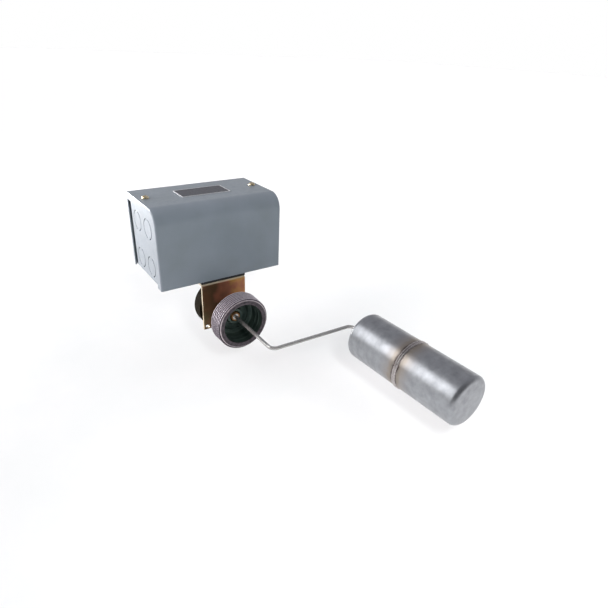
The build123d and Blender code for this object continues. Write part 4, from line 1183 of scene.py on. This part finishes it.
@dataclass
class Studio:
    """White floor, soft lamps, world and camera. Sizes in metres."""

    floor_z: float = -0.085
    floor_size: float = 30.0
    glow_middle: Place = (-1.2, 0.5, -0.085)
    glow_reach: Point = (1.05, 2.05)    # the floor's glow grows between these distances
    rim_reach: Point = (1.2, 1.6)       # and between these from under the switch
    glow_least: float = 0.03
    glow_most: float = 0.6
    bright_side: Place = (0.59, 0.8, 0.0)
    focal_px: float = 480.74
    image_px: float = 608.0
    place: Place = (-0.25619, -0.49141, 0.32199)
    yaw_deg: float = 36.497
    pitch_deg: float = 28.33
    roll_deg: float = 3.005

    def camera(self) -> None:
        """Puts the camera where the photograph was taken."""
        yaw, pitch, roll = (math.radians(a) for a in (self.yaw_deg, self.pitch_deg,
                                                      self.roll_deg))
        ahead = Vector((math.sin(yaw) * math.cos(pitch), math.cos(yaw) * math.cos(pitch),
                        -math.sin(pitch)))
        level = Vector((math.cos(yaw), -math.sin(yaw), 0))
        above = level.cross(ahead)
        right = math.cos(roll) * level + math.sin(roll) * above
        up = math.cos(roll) * above - math.sin(roll) * level
        data = bpy.data.cameras.new("photo_camera")
        data.sensor_width = 36.0
        data.lens = self.focal_px * data.sensor_width / self.image_px
        data.clip_start, data.clip_end = 0.01, 50.0
        camera = bpy.data.objects.new("photo_camera", data)
        turn = Matrix((right, up, -ahead)).transposed().to_4x4()
        camera.matrix_world = Matrix.Translation(self.place) @ turn
        bpy.context.scene.collection.objects.link(camera)
        bpy.context.scene.camera = camera

    def floor(self) -> None:
        """Large white sheet of paper under the switch."""
        bpy.ops.object.select_all(action="DESELECT")
        home = (0, 0, self.floor_z)
        bpy.ops.mesh.primitive_plane_add(size=self.floor_size, location=home)
        sheet = named("studio_floor")
        edit()
        bpy.ops.mesh.subdivide(number_cuts=6)
        leave_edit()
        settle(sheet)
        material = Finishes.PAPER.build()
        tree = material.node_tree
        output = next(n for n in tree.nodes if n.type == "OUTPUT_MATERIAL")
        paper = output.inputs["Surface"].links[0].from_socket
        rays = add(tree, "LightPath").outputs
        mirrored = add(tree, "Math", (rays["Is Glossy Ray"], rays["Is Transmission Ray"]),
                       operation="MAXIMUM")
        seen = add(tree, "Math", (rays["Is Camera Ray"], mirrored), operation="MAXIMUM")
        place = add(tree, "TexCoord").outputs["Object"]
        glows = []
        for middle, near, far, least in ((self.glow_middle, *self.glow_reach, self.glow_least),
                                         (home, *self.rim_reach, 0.0)):
            away = add(tree, "VectorMath", (place, middle), operation="DISTANCE")
            glows.append(add(tree, "MapRange", (away.outputs["Value"], near, far, least,
                                                self.glow_most)))
        most = add(tree, "Math", tuple(glows), operation="MAXIMUM")
        glow = add(tree, "Math", (seen, most), operation="MULTIPLY")
        light = add(tree, "Emission", {"Color": (1, 1, 1, 1), "Strength": glow})
        total = add(tree, "AddShader", (paper, light))
        tree.links.new(total.outputs[0], output.inputs["Surface"])
        sheet.data.materials.append(material)

    def world(self) -> None:
        """Room that is white near the horizon, darker overhead and on the camera's side."""
        world = bpy.data.worlds.new("studio_room")
        world.use_nodes = True
        tree = world.node_tree
        tree.nodes.clear()
        direction = add(tree, "TexCoord").outputs["Generated"]
        height = add(tree, "SeparateXYZ", (direction,)).outputs["Z"]
        room = add(tree, "ValToRGB", (height,), ((0.09, "#ffffff"), (0.2, "#bababc"),
                                                 (0.55, "#b5b5ba")))
        ahead = add(tree, "VectorMath", (direction, self.bright_side),
                    operation="DOT_PRODUCT")
        level = add(tree, "MapRange", (ahead.outputs["Value"], -0.6, 0.2, 0.4, 1.0))
        glow = add(tree, "Background", {"Color": room, "Strength": level})
        add(tree, "OutputWorld", {"Surface": glow})
        bpy.context.scene.world = world

    def build(self) -> None:
        """Builds the studio."""
        self.camera()
        self.floor()
        self.world()
        for light in LIGHTS:
            light.build()
        bpy.context.scene.view_settings.view_transform = "Standard"


def main() -> None:
    """Builds every sub-assembly and the studio."""
    logging.basicConfig(level=logging.INFO, format="%(message)s")
    parts = [TankConnection(), SwitchBox(), BracketGroup(), FloatArm(), ContactMechanism()]
    for part in parts:
        part.build()
        LOG.info("%s: %d new pieces", type(part).__name__, len(part.made))
    Studio().build()


if __name__ == "__main__":
    main()
